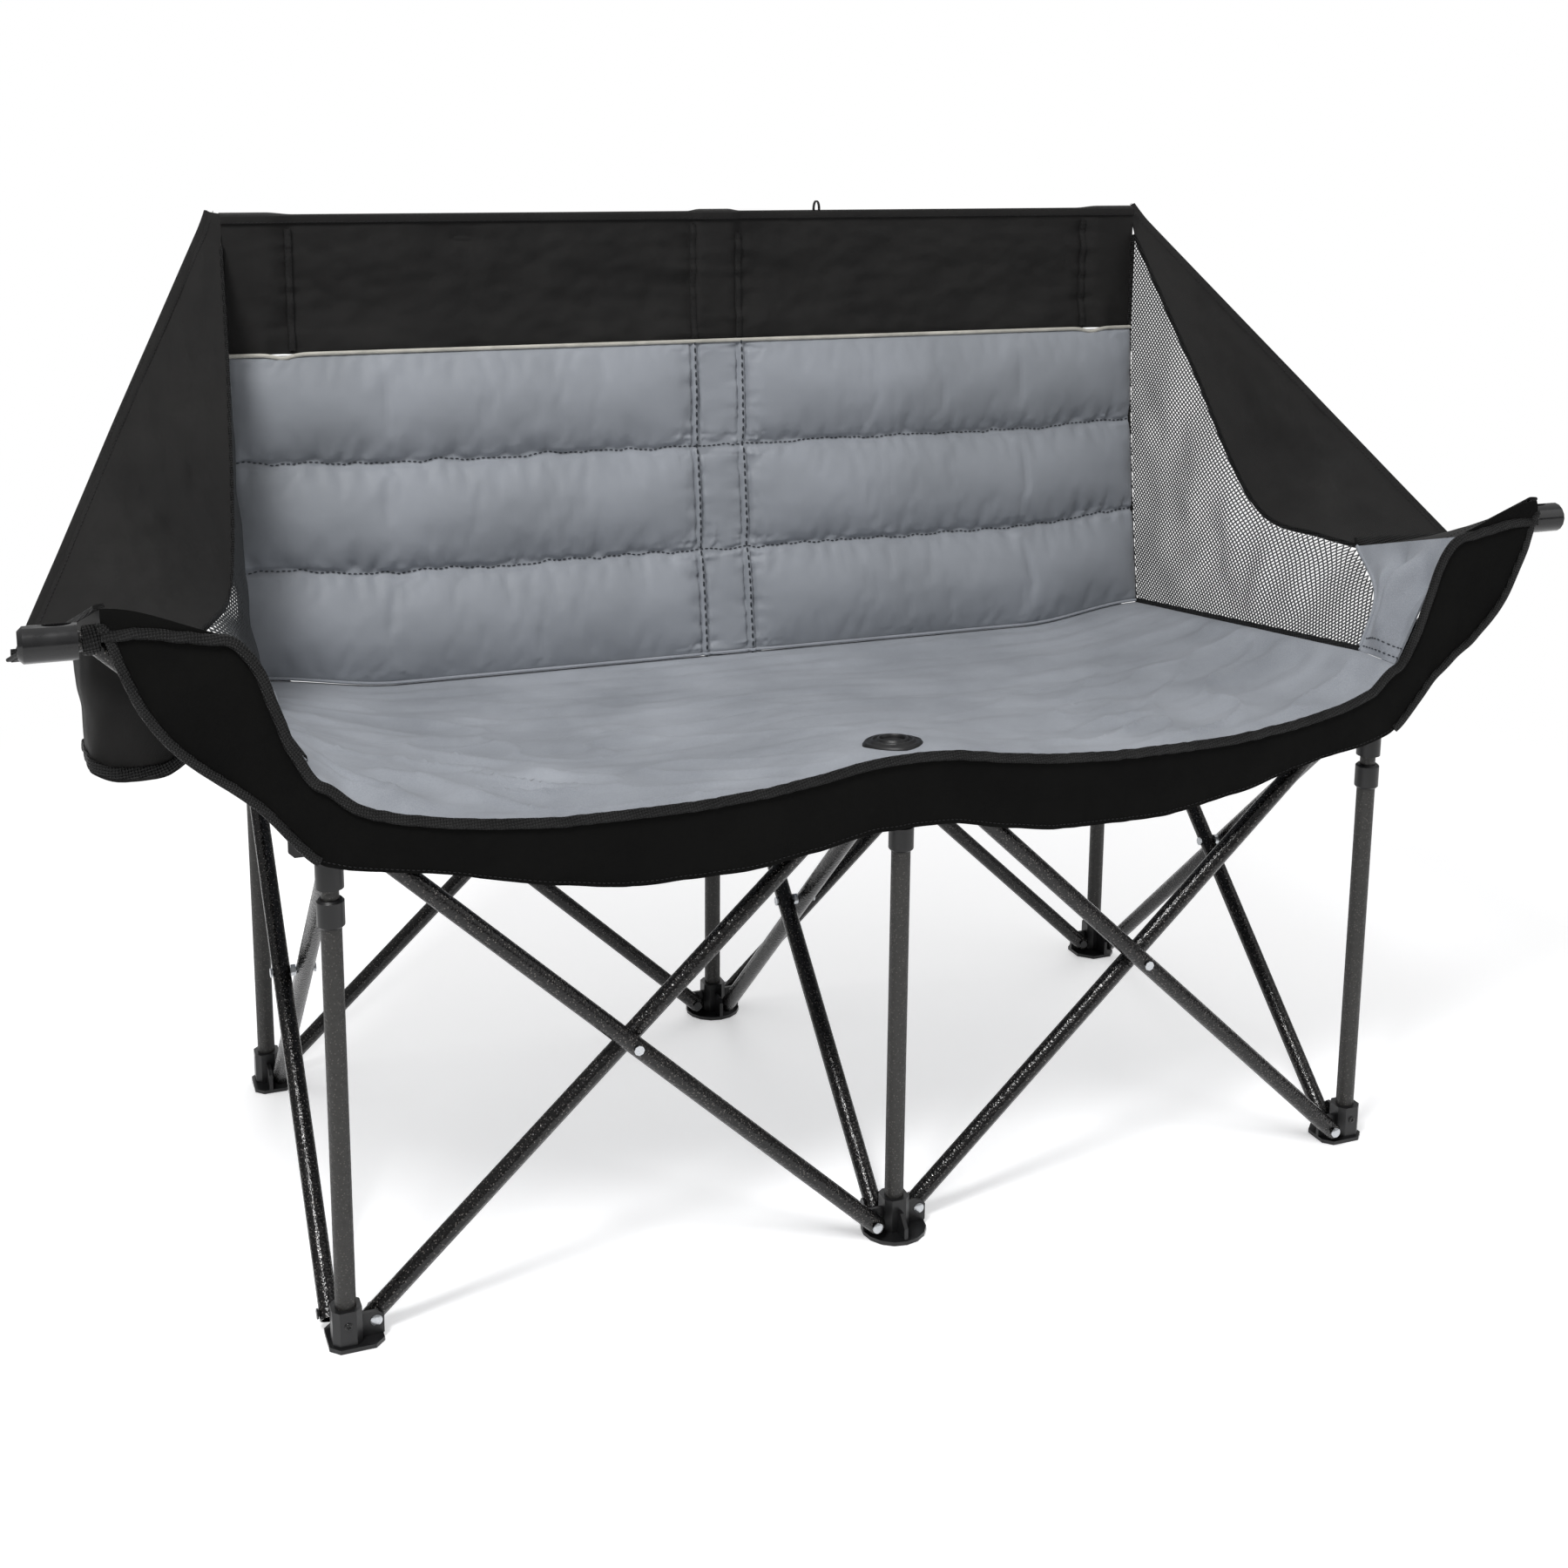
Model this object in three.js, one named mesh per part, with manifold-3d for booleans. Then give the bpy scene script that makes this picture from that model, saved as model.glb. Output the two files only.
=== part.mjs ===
// Folding camping loveseat: a two-bay scissor frame of round steel tube under a sewn cover.
// Millimetres, +Z up, left and right as seen from the front (-Y), origin on the floor under the middle.
import * as THREE from 'three';
import { mergeVertices } from 'three/addons/utils/BufferGeometryUtils.js';
import Module from 'manifold-3d';

const wasm = await Module();
wasm.setup();

// Frame layout
const bay = 545; // one post to the next across the seat
const depth = 545; // front posts to rear poles
const pivotOut = 27; // a pivot pin from the axis of its post
const lowPivotZ = 18; // pins in the feet
const topPivotZ = 480; // pins in the top brackets and rear sliders
const poleTopZ = 988;

// Tubes
const tubeRadius = 9; // crossing tubes
const wall = 1;
const postRadius = 9.5; // front posts and rear poles
const innerRadius = 8; // telescoping front tubes
const innerLowZ = 120;
const innerTopZ = 466;
const postTopZ = 420;
const tubeEnd = 7; // tube past its pin
const fit = 0.3; // gap between pieces that touch
const runGap = 0.5; // gap beside a tube that swings
const cutPast = 1; // cuts run this far past a face
const tubeSides = 16;
const boreSides = 8;

// Hinge ears, pins and rivets
const earThick = 4;
const earReach = 34;
const earHalf = 11; // half the height of an upper ear
const pinRadius = 3;
const pinHole = 3.8;
const holeSides = 6;
const headRadius = 5;
const headThick = 1.6;
const spacerRadius = 6;
const tubeOffset = earThick / 2 + runGap + tubeRadius; // tube axis beside its ear's plane
const pinReach = tubeOffset + tubeRadius + runGap;

// Feet
const plateThick = 4;
const footHeight = 38;
const socketRadius = 13.5;
const socketCut = 6; // cut corners of a foot's square socket
const socketBore = postRadius + fit;
const footEarTop = 27;
const discRadius = 33; // round middle feet
const plateReach = 33; // corner feet, towards their ears
const plateBack = 17; // corner feet, away from their ears
const plateCut = 9; // cut corners
const ribReach = 31; // rib of a middle foot
const ribCut = 11;

// Top brackets, sliders and collars
const cupRadius = 12.5;
const cupLowZ = 438;
const cupTopZ = 476;
const sliderHalf = 15;
const collarRadius = 12.4;
const collarLowZ = 402;
const collarTopZ = 428;
const collarCut = 2;

// Arms
const armRise = 198; // arm grip above the top pins
const armBend = 24; // bend radius of the arm tube
const armBendSteps = 5;
const gripRadius = 15.5;
const gripLength = 46;
const gripRound = 4;
const gripEnd = 4;
const slotHalf = 12; // thumb slot on top of the grip
const slotWide = 5;
const slotDeep = 4;

// Sewn cover
const clothThick = 4;
const seatThick = 6;
const seam = 0.4; // gap between sewn panels
const netGap = 2; // and round the nets
const coverSide = 10.5; // side seams outside the corner poles
const seatRearIn = 56; // rear seam in front of the poles
const seatCutIn = 24; // cross seam in front of the middle
const seatDrop = 5; // rear seam under the top pins
const seatSag = 12;
const sideRise = 13; // seat's side seam over the pins at the rear
const cornerRise = 61; // and at the front corners
const bandHigh = 147; // head band, from the pad to the pole tops
const padEdge = 5; // quilted pad where it is sewn down
const padCrown = 19; // and what it swells by
const padLean = 44; // how far the pad's foot comes forward
const padLift = 1.5; // gap over the seat
const padStripHalf = 27; // plain strip down the middle
const padChannels = 3;
const bandOver = 6; // head band over the pole tops
const bandBack = 90; // rear flap of the head band
const apronFall = 35; // front hem under the pins at the corner posts
const apronSag = 40;
const pocketWide = 94;
const pocketDeep = 90;
const pocketOut = 99; // its inner wall from the bracket
const pocketIn = 75; // its front wall behind the front posts
const pocketFloor = 35; // over the top pins
const pocketWall = 3;
const cupHole = 36;

// Heater switch on the seat
const switchRadius = 12;
const switchHigh = 3;
const switchIn = 46; // behind the front binding
const switchSink = 4.4; // well in the seat
const switchTravel = 1.5;

const frontY = -depth / 2;
const rearY = depth / 2;
const padTopZ = poleTopZ - bandHigh;
const rise = topPivotZ - lowPivotZ;

// Length and slope of a crossing tube between posts this far apart
function crossing(apart) {
  const run = apart - 2 * pivotOut;
  return { tubeLength: Math.hypot(run, rise), slope: Math.atan2(rise, run) };
}
const acrossBay = crossing(bay);
const acrossDepth = crossing(depth);


const steel = { color: 0x2b2a2b, roughness: 0.5, metalness: 0.6 };
const plastic = { color: 0x161617, roughness: 0.55, metalness: 0 };
const zinc = { color: 0xb9bcc0, roughness: 0.3, metalness: 1 };
const greyCloth = { color: 0x7f858d, roughness: 0.8, metalness: 0 };
const blackCloth = { color: 0x1d1d1e, roughness: 0.85, metalness: 0 };
const netCloth = { color: 0x55585c, roughness: 0.9, metalness: 0 };

// Closed three.js geometry to a solid, with its faces turned outwards
function solid(geometry) {
  const plain = geometry.clone();
  plain.deleteAttribute('normal');
  plain.deleteAttribute('uv');
  const merged = mergeVertices(plain, 1e-4);
  const points = merged.attributes.position.array;
  const index = merged.index.array;
  const corners = [];
  let volume = 0;
  const a = new THREE.Vector3();
  const b = new THREE.Vector3();
  const c = new THREE.Vector3();
  for (let i = 0; i < index.length; i += 3) {
    const [p, q, r] = [index[i], index[i + 1], index[i + 2]];
    if (p === q || q === r || r === p) {
      continue;
    }
    corners.push([p, q, r]);
    a.fromArray(points, 3 * p);
    b.fromArray(points, 3 * q);
    c.fromArray(points, 3 * r);
    volume += a.dot(b.cross(c));
  }
  const ordered = volume > 0 ? corners : corners.map(([p, q, r]) => [p, r, q]);
  return new wasm.Manifold(new wasm.Mesh({
    numProp: 3,
    vertProperties: new Float32Array(points),
    triVerts: new Uint32Array(ordered.flat()),
  }));
}

// Solid back to three.js geometry
function surface(body) {
  const mesh = body.getMesh();
  const geometry = new THREE.BufferGeometry();
  geometry.setAttribute('position', new THREE.BufferAttribute(new Float32Array(mesh.vertProperties), 3));
  geometry.setIndex(new THREE.BufferAttribute(new Uint32Array(mesh.triVerts), 1));
  geometry.computeVertexNormals();
  return geometry;
}

const group = new THREE.Group();

function place(name, body, finish, parent = group) {
  const mesh = new THREE.Mesh(surface(body), new THREE.MeshStandardMaterial(finish));
  mesh.name = name;
  parent.add(mesh);
  return mesh;
}

// Turned body about Z from [radius, height] pairs
function turned(profile, sides) {
  const points = profile.map(([radius, height]) => new THREE.Vector2(radius, height));
  return new THREE.LatheGeometry(points, sides).rotateX(Math.PI / 2);
}

// Round bar about Z between two heights
function bar(radius, low, high, sides) {
  return turned([[0, low], [radius, low], [radius, high], [0, high]], sides);
}

// Flat outline in X and Z, extruded along Y about the middle plane
function plate(outline, thick) {
  const shape = new THREE.Shape(outline.map(([x, z]) => new THREE.Vector2(x, z)));
  const geometry = new THREE.ExtrudeGeometry(shape, { depth: thick, bevelEnabled: false });
  return geometry.rotateX(Math.PI / 2).translate(0, thick / 2, 0);
}

// Square block about Z with cut corners
function block(half, cut, low, high) {
  const flat = half - cut;
  const quarter = [[half, -flat], [half, flat], [flat, half], [-flat, half]];
  const corners = [...quarter, ...quarter.map(([x, y]) => [-x, -y])];
  const shape = new THREE.Shape(corners.map(([x, y]) => new THREE.Vector2(x, y)));
  const geometry = new THREE.ExtrudeGeometry(shape, { depth: high - low, bevelEnabled: false });
  return geometry.translate(0, 0, low);
}

// Round tube between two heights
function pipe(radius, low, high) {
  return solid(bar(radius, low, high, tubeSides))
    .subtract(solid(bar(radius - wall, low - cutPast, high + cutPast, tubeSides)));
}

// Directions of the ears round a post, as turns about Z
const east = { turn: 0, flip: 1 };
const west = { turn: Math.PI, flip: -1 };
const north = { turn: Math.PI / 2, flip: -1 };
const south = { turn: -Math.PI / 2, flip: 1 };

// Hinge ear with its pin: toward says the side of the ear that its tube lies on
function ear(direction, toward, pinZ, lowZ, highZ, inner) {
  const cut = headRadius;
  const web = plate([
    [inner, lowZ],
    [earReach - cut, lowZ],
    [earReach, lowZ + cut],
    [earReach, highZ - cut],
    [earReach - cut, highZ],
    [inner, highZ],
  ], earThick);
  let body = solid(web.rotateZ(direction.turn));
  if (toward !== 0) {
    const pin = turned([
      [0, 0],
      [pinRadius, 0],
      [pinRadius, pinReach],
      [headRadius, pinReach],
      [headRadius, pinReach + headThick],
      [0, pinReach + headThick],
    ], boreSides);
    const side = toward * direction.flip;
    pin.rotateX(-side * Math.PI / 2).translate(pivotOut, 0, pinZ).rotateZ(direction.turn);
    body = body.add(solid(pin));
  }
  return body;
}

// Foot outline: a disc with cut edges in the middle, an L with cut corners at the ends
function footPlate(directions) {
  const shape = new THREE.Shape();
  if (directions.length > 2) {
    shape.absarc(0, 0, discRadius, 0, 2 * Math.PI, false);
  } else {
    const sx = directions.includes(east) ? 1 : -1;
    const sy = directions.includes(north) ? 1 : -1;
    const corners = [
      [-plateBack + plateCut, -plateBack],
      [plateReach - plateCut, -plateBack],
      [plateReach, -plateBack + plateCut],
      [plateReach, plateBack],
      [plateBack, plateReach],
      [-plateBack + plateCut, plateReach],
      [-plateBack, plateReach - plateCut],
      [-plateBack, -plateBack + plateCut],
    ];
    shape.setFromPoints(corners.map(([x, y]) => new THREE.Vector2(sx * x, sy * y)));
  }
  const options = { depth: plateThick, bevelEnabled: false, curveSegments: tubeSides / 2 };
  return new THREE.ExtrudeGeometry(shape, options);
}

function foot(name, x, y, ears, ribs = []) {
  const lift = plateThick + fit;
  let body = solid(footPlate(ears.map(([direction]) => direction)));
  body = body.add(solid(block(socketRadius, socketCut, 0, footHeight)));
  for (const [direction, toward] of ears) {
    body = body.add(ear(direction, toward, lowPivotZ, 0, footEarTop, postRadius));
  }
  for (const direction of ribs) {
    const web = plate([
      [postRadius, 0],
      [ribReach, 0],
      [ribReach, footEarTop - ribCut],
      [ribReach - ribCut, footEarTop],
      [postRadius, footEarTop],
    ], earThick);
    body = body.add(solid(web.rotateZ(direction.turn)));
  }
  body = body.subtract(solid(bar(socketBore, lift - fit, footHeight + cutPast, tubeSides)));
  place(name, body, plastic).position.set(x, y, 0);
}

function bracket(name, x, y, ears) {
  const bore = innerRadius + fit;
  let body = solid(bar(cupRadius, cupLowZ, cupTopZ, tubeSides));
  for (const [direction, toward] of ears) {
    body = body.add(ear(direction, toward, topPivotZ, topPivotZ - earHalf, topPivotZ + earHalf, innerRadius));
  }
  body = body.subtract(solid(bar(bore, cupLowZ - cutPast, innerTopZ + fit, tubeSides)));
  place(name, body, plastic).position.set(x, y, 0);
}

function slider(name, x, y, ears) {
  const low = topPivotZ - sliderHalf;
  const high = topPivotZ + sliderHalf;
  let body = solid(bar(socketRadius, low, high, tubeSides));
  for (const [direction, toward] of ears) {
    body = body.add(ear(direction, toward, topPivotZ, topPivotZ - earHalf, topPivotZ + earHalf, postRadius));
  }
  body = body.subtract(solid(bar(socketBore, low - cutPast, high + cutPast, tubeSides)));
  place(name, body, plastic).position.set(x, y, 0);
}

function collar(name, x, y) {
  const lip = postTopZ + fit;
  const body = solid(turned([
    [postRadius + fit, collarLowZ],
    [collarRadius - collarCut, collarLowZ],
    [collarRadius, collarLowZ + collarCut],
    [collarRadius, collarTopZ - collarCut],
    [collarRadius - collarCut, collarTopZ],
    [innerRadius + fit, collarTopZ],
    [innerRadius + fit, lip],
    [postRadius + fit, lip],
    [postRadius + fit, collarLowZ],
  ], tubeSides));
  place(name, body, plastic).position.set(x, y, 0);
}

// Path through listed stations, one ring of the sweep at each
class Stations extends THREE.Curve {
  constructor(points) {
    super();
    this.points = points;
  }
  getUtoTmapping(u) {
    return u;
  }
  getPoint(t, target = new THREE.Vector3()) {
    const last = this.points.length - 1;
    const at = Math.min(Math.max(t, 0), 1) * last;
    const first = Math.min(Math.floor(at), last - 1);
    return target.lerpVectors(this.points[first], this.points[first + 1], at - first);
  }
}

function swept(points, radius, sides) {
  const shape = new THREE.Shape();
  shape.absarc(0, 0, radius, 0, 2 * Math.PI, false);
  return new THREE.ExtrudeGeometry(shape, {
    steps: points.length - 1,
    curveSegments: sides / 2,
    extrudePath: new Stations(points),
    bevelEnabled: false,
  });
}

// Centre line of a crossing tube along X from its lower pin, with the arm's bend where it has one
function tubeLine({ tubeLength, slope }, armSide, overrun) {
  const line = [new THREE.Vector3(-tubeEnd - overrun, 0, 0)];
  if (armSide === 0) {
    line.push(new THREE.Vector3(tubeLength + tubeEnd + overrun, 0, 0));
    return line;
  }
  const start = tubeLength + armRise / Math.sin(slope) - armBend * Math.tan(slope / 2);
  for (let i = 0; i <= armBendSteps; i += 1) {
    const turn = slope * i / armBendSteps;
    const sink = armBend * (1 - Math.cos(turn));
    line.push(new THREE.Vector3(start + armBend * Math.sin(turn), 0, -armSide * sink));
  }
  const last = line[line.length - 1];
  const out = gripLength - gripEnd - fit + overrun;
  line.push(new THREE.Vector3(
    last.x + out * Math.cos(slope), 0, last.z - armSide * out * Math.sin(slope)));
  return line;
}

// Crossing tube in the plane of a bay: goes from its foot at one post to the top of the next
function crossTube(name, bayGroup, across, from, toRight, offset, arm = 0) {
  const { tubeLength, slope } = across;
  const side = toRight ? 1 : -1;
  let body = solid(swept(tubeLine(across, arm * side, 0), tubeRadius, tubeSides));
  body = body.subtract(solid(swept(tubeLine(across, arm * side, cutPast), tubeRadius - wall, boreSides)));
  for (const at of [0, tubeLength / 2, tubeLength]) {
    const drill = bar(pinHole, -tubeRadius - cutPast, tubeRadius + cutPast, holeSides);
    body = body.subtract(solid(drill.rotateX(Math.PI / 2).translate(at, 0, 0)));
  }
  const mesh = place(name, body, steel, bayGroup);
  mesh.position.set(from + side * pivotOut, offset, lowPivotZ);
  mesh.rotation.y = toRight ? -slope : slope - Math.PI;
  return mesh;
}

// Rivet through two crossing tubes, with the washer that keeps them apart
function crossRivet(name, bayGroup, middle) {
  const washer = tubeOffset - tubeRadius - fit;
  const profile = [
    [0, -pinReach - headThick],
    [headRadius, -pinReach - headThick],
    [headRadius, -pinReach],
    [pinRadius, -pinReach],
    [pinRadius, -washer],
    [spacerRadius, -washer],
    [spacerRadius, washer],
    [pinRadius, washer],
    [pinRadius, pinReach],
    [headRadius, pinReach],
    [headRadius, pinReach + headThick],
    [0, pinReach + headThick],
  ];
  const body = solid(turned(profile, boreSides).rotateX(Math.PI / 2));
  place(name, body, zinc, bayGroup).position.set(middle, 0, (lowPivotZ + topPivotZ) / 2);
}

// Bays: the front and rear run along X, the sides along Y
function bayGroup(x, y, turn) {
  const bayFrame = new THREE.Group();
  bayFrame.position.set(x, y, 0);
  bayFrame.rotation.z = turn;
  group.add(bayFrame);
  return bayFrame;
}
const frontBay = bayGroup(0, frontY, 0);
const rearBay = bayGroup(0, rearY, 0);

const columns = [['left', -bay], ['centre', 0], ['right', bay]];

// Posts, poles, telescoping tubes and collars
for (const [side, x] of columns) {
  place(`front_post_${side}`, pipe(postRadius, plateThick + fit, postTopZ), steel).position.set(x, frontY, 0);
  place(`rear_pole_${side}`, pipe(postRadius, plateThick + fit, poleTopZ), steel).position.set(x, rearY, 0);
  place(`inner_tube_${side}`, pipe(innerRadius, innerLowZ, innerTopZ), steel).position.set(x, frontY, 0);
  collar(`collar_${side}`, x, frontY);
}

// Feet, brackets and sliders: each ear with the side on which its tube lies
foot('foot_front_left', -bay, frontY, [[east, 1], [north, -1]]);
foot('foot_front_centre', 0, frontY, [[west, -1], [east, 1], [north, -1]], [south]);
foot('foot_front_right', bay, frontY, [[west, -1], [north, -1]]);
foot('foot_rear_left', -bay, rearY, [[east, 1], [south, 1]]);
foot('foot_rear_centre', 0, rearY, [[west, -1], [east, 1], [south, 1]], [north]);
foot('foot_rear_right', bay, rearY, [[west, -1], [south, 1]]);

bracket('bracket_left', -bay, frontY, [[east, -1], [north, 1], [west, 0]]);
bracket('bracket_centre', 0, frontY, [[west, 1], [east, -1], [north, 1]]);
bracket('bracket_right', bay, frontY, [[west, 1], [north, 1], [east, 0]]);

slider('slider_left', -bay, rearY, [[east, -1], [south, -1]]);
slider('slider_centre', 0, rearY, [[west, 1], [east, -1], [south, -1]]);
slider('slider_right', bay, rearY, [[west, 1], [south, -1]]);

// Crossing tubes: seen from outside, the one that runs down to the right lies outside
crossTube('arm_tube_left', frontBay, acrossBay, 0, false, -tubeOffset, 1);
crossTube('front_tube_left', frontBay, acrossBay, -bay, true, tubeOffset);
crossTube('arm_tube_right', frontBay, acrossBay, 0, true, tubeOffset, 1);
crossTube('front_tube_right', frontBay, acrossBay, bay, false, -tubeOffset);
crossTube('rear_tube_left_out', rearBay, acrossBay, -bay, true, tubeOffset);
crossTube('rear_tube_left_in', rearBay, acrossBay, 0, false, -tubeOffset);
crossTube('rear_tube_right_in', rearBay, acrossBay, 0, true, tubeOffset);
crossTube('rear_tube_right_out', rearBay, acrossBay, bay, false, -tubeOffset);
for (const [side, x] of columns) {
  const sideBay = bayGroup(x, 0, Math.PI / 2);
  crossTube(`side_tube_${side}_front`, sideBay, acrossDepth, frontY, true, tubeOffset);
  crossTube(`side_tube_${side}_rear`, sideBay, acrossDepth, rearY, false, -tubeOffset);
  crossRivet(`rivet_side_${side}`, sideBay, 0);
}
crossRivet('rivet_front_left', frontBay, -bay / 2);
crossRivet('rivet_front_right', frontBay, bay / 2);
crossRivet('rivet_rear_left', rearBay, -bay / 2);
crossRivet('rivet_rear_right', rearBay, bay / 2);

// Arm grips: blind sleeves on the level ends of the arm tubes, each with a slot on top
const gripX = bay - pivotOut + armRise / Math.tan(acrossBay.slope) + armBend * Math.tan(acrossBay.slope / 2);
const armZ = topPivotZ + armRise;
for (const [side, sign, offset] of [['left', -1, -tubeOffset], ['right', 1, tubeOffset]]) {
  const shell = turned([
    [0, gripLength],
    [gripRadius - gripRound, gripLength],
    [gripRadius, gripLength - gripRound],
    [gripRadius, fit],
    [tubeRadius + 2 * fit, fit],
    [tubeRadius + 2 * fit, gripLength - gripEnd],
    [0, gripLength - gripEnd],
  ], tubeSides).rotateY(sign * Math.PI / 2);
  const slot = new THREE.Shape();
  slot.absellipse(0, 0, slotHalf, slotWide, 0, 2 * Math.PI, false, 0);
  const options = { depth: slotDeep + cutPast, bevelEnabled: false, curveSegments: tubeSides / 2 };
  const cutter = new THREE.ExtrudeGeometry(slot, options);
  cutter.translate(sign * (slotHalf + gripEnd), 0, gripRadius - slotDeep);
  const body = solid(shell).subtract(solid(cutter));
  place(`arm_grip_${side}`, body, plastic).position.set(sign * gripX, frontY + offset, armZ);
}

// Sewn cover

const smooth = (t) => t * t * (3 - 2 * t);
const clamp01 = (t) => Math.min(Math.max(t, 0), 1);
const point = (x, y, z) => new THREE.Vector3(x, y, z);

// Value at a place in a table of [place share, value share] rows, on a smooth curve that never overshoots
function tableAt(rows, at) {
  const rate = (i) => (rows[i + 1][1] - rows[i][1]) / (rows[i + 1][0] - rows[i][0]);
  const slopeAt = (i) => {
    if (i === 0 || i === rows.length - 1) {
      return 0;
    }
    const [before, after] = [rate(i - 1), rate(i)];
    return before * after > 0 ? 2 * before * after / (before + after) : 0;
  };
  let i = 0;
  while (i < rows.length - 2 && at > rows[i + 1][0]) {
    i += 1;
  }
  const [from, a] = rows[i];
  const [to, b] = rows[i + 1];
  const t = clamp01((at - from) / (to - from));
  const bend = (to - from) * (slopeAt(i) * t * (1 - t) ** 2 - slopeAt(i + 1) * t * t * (1 - t));
  return a + (b - a) * smooth(t) + bend;
}

// Closed sheet on a grid: at(u, v) is one face, back(u, v) the other
function sheet(across, along, at, back) {
  const us = Array.isArray(across) ? across : Array.from({ length: across + 1 }, (_, i) => i / across);
  const vs = Array.isArray(along) ? along : Array.from({ length: along + 1 }, (_, i) => i / along);
  const positions = [];
  for (const face of [at, back]) {
    for (const v of vs) {
      for (const u of us) {
        positions.push(...face(u, v).toArray());
      }
    }
  }
  const wide = us.length;
  const high = vs.length;
  const half = wide * high;
  const index = [];
  const quad = (a, b, c, d) => index.push(a, b, c, a, c, d);
  for (let j = 0; j < high - 1; j += 1) {
    for (let i = 0; i < wide - 1; i += 1) {
      const k = j * wide + i;
      quad(k, k + 1, k + wide + 1, k + wide);
      quad(half + k, half + k + wide, half + k + wide + 1, half + k + 1);
    }
  }
  const rim = [];
  for (let i = 0; i < wide - 1; i += 1) {
    rim.push(i);
  }
  for (let j = 0; j < high - 1; j += 1) {
    rim.push(j * wide + wide - 1);
  }
  for (let i = wide - 1; i > 0; i -= 1) {
    rim.push((high - 1) * wide + i);
  }
  for (let j = high - 1; j > 0; j -= 1) {
    rim.push(j * wide);
  }
  rim.forEach((k, i) => {
    const next = rim[(i + 1) % rim.length];
    quad(next, k, half + k, half + next);
  });
  const geometry = new THREE.BufferGeometry();
  geometry.setAttribute('position', new THREE.Float32BufferAttribute(positions, 3));
  geometry.setIndex(index);
  return solid(geometry);
}

// Other face of a sheet, a thickness away along its normal
function offsetFace(at, thick) {
  const step = 1e-3;
  return (u, v) => {
    const u0 = Math.max(u - step, 0);
    const u1 = Math.min(u + step, 1);
    const v0 = Math.max(v - step, 0);
    const v1 = Math.min(v + step, 1);
    const du = at(u1, v).sub(at(u0, v));
    const dv = at(u, v1).sub(at(u, v0));
    return at(u, v).addScaledVector(du.cross(dv).normalize(), thick);
  };
}

// Surface between four edges: two along u, two along v, as functions of their share
function coons(low, high, first, last) {
  const p00 = low(0);
  const p10 = low(1);
  const p01 = high(0);
  const p11 = high(1);
  return (u, v) => {
    const p = low(u).multiplyScalar(1 - v).addScaledVector(high(u), v);
    p.addScaledVector(first(v), 1 - u).addScaledVector(last(v), u);
    p.addScaledVector(p00, -(1 - u) * (1 - v)).addScaledVector(p10, -u * (1 - v));
    return p.addScaledVector(p01, -(1 - u) * v).addScaledVector(p11, -u * v);
  };
}

function through(points) {
  const curve = new THREE.CatmullRomCurve3(points, false, 'centripetal');
  return (t) => curve.getPoint(t);
}

// Seat: level at the rear, rising at the sides, scalloped over the front brackets
const coverHalf = bay + coverSide;
const seatRearY = rearY - seatRearIn;
const apronBackY = frontY - pinReach - headThick - fit;
const seatFrontY = apronBackY + seam;
const seatCutY = -seatCutIn;
const frontEdgeShares = [
  [0, 0.41], [0.06, 0.39], [0.18, 0.23], [0.28, 0.12], [0.43, 0.05],
  [0.6, 0.06], [0.74, 0.17], [0.87, 0.38], [0.94, 0.6], [1, 1],
];
const sideStartShare = 0.7;
const levelShare = 0.88;
function seatZ(x, y) {
  const s = clamp01(Math.abs(x) / coverHalf);
  const t = clamp01((seatRearY - y) / (seatRearY - seatFrontY));
  const towardSide = smooth(clamp01((s - sideStartShare) / (1 - sideStartShare)));
  const rear = -seatDrop + (sideRise + seatDrop) * towardSide;
  const front = cornerRise * tableAt(frontEdgeShares, s);
  const sag = seatSag * Math.sin(Math.PI * t) * (1 - s * s);
  return topPivotZ + rear + (front - rear) * Math.min(t / levelShare, 1) - sag;
}
function seatFace(rear, front, drop) {
  return (u, v) => {
    const x = (2 * u - 1) * (coverHalf - seam);
    const y = rear + (front - rear) * v;
    return point(x, y, seatZ(x, y) - drop);
  };
}
const seatColumns = 24;
const seatRows = 4;
const seatRear = sheet(seatColumns, seatRows,
  seatFace(seatRearY, seatCutY + seam, 0), seatFace(seatRearY, seatCutY + seam, seatThick));
place('seat_rear', seatRear, greyCloth);
const switchY = seatFrontY + switchIn;
const switchZ = seatZ(0, switchY);
const seatFrontPlain = sheet(seatColumns, seatRows,
  seatFace(seatCutY, seatFrontY + seam, 0), seatFace(seatCutY, seatFrontY + seam, seatThick));
const wellZ = switchZ - switchSink;
const switchWell = bar(switchRadius + fit, wellZ, switchZ + seatThick, tubeSides).translate(0, switchY, 0);
place('seat_front', seatFrontPlain.subtract(solid(switchWell)), greyCloth);
const switchCap = bar(switchRadius, wellZ + switchTravel + fit, switchZ + switchHigh, tubeSides);
place('switch_button', solid(switchCap), plastic).position.set(0, switchY, 0);

// Quilted back pad: three channels between seams, a plain strip down the middle
const padLowZ = (x) => seatZ(x, seatRearY) + padLift;
const padBackY = (z) => {
  const t = clamp01((padTopZ - z) / (padTopZ - topPivotZ));
  return rearY - postRadius - seam - padLean * t * Math.sqrt(t);
};
const puff = (t) => Math.sqrt(Math.max(1 - (2 * t - 1) ** 2, 0));
function padDepth(x, v) {
  const channel = puff((v * padChannels) % 1);
  const across = Math.abs(x);
  const panel = across < padStripHalf
    ? puff((across / padStripHalf + 1) / 2) / padChannels
    : puff((across - padStripHalf) / (coverHalf - padStripHalf));
  return padEdge + padCrown * channel * Math.sqrt(panel);
}
const stripShare = padStripHalf / coverHalf;
const halfShares = [0, stripShare / 2, stripShare, stripShare * 1.3, 0.25, 0.6, 0.93, 1];
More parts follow.
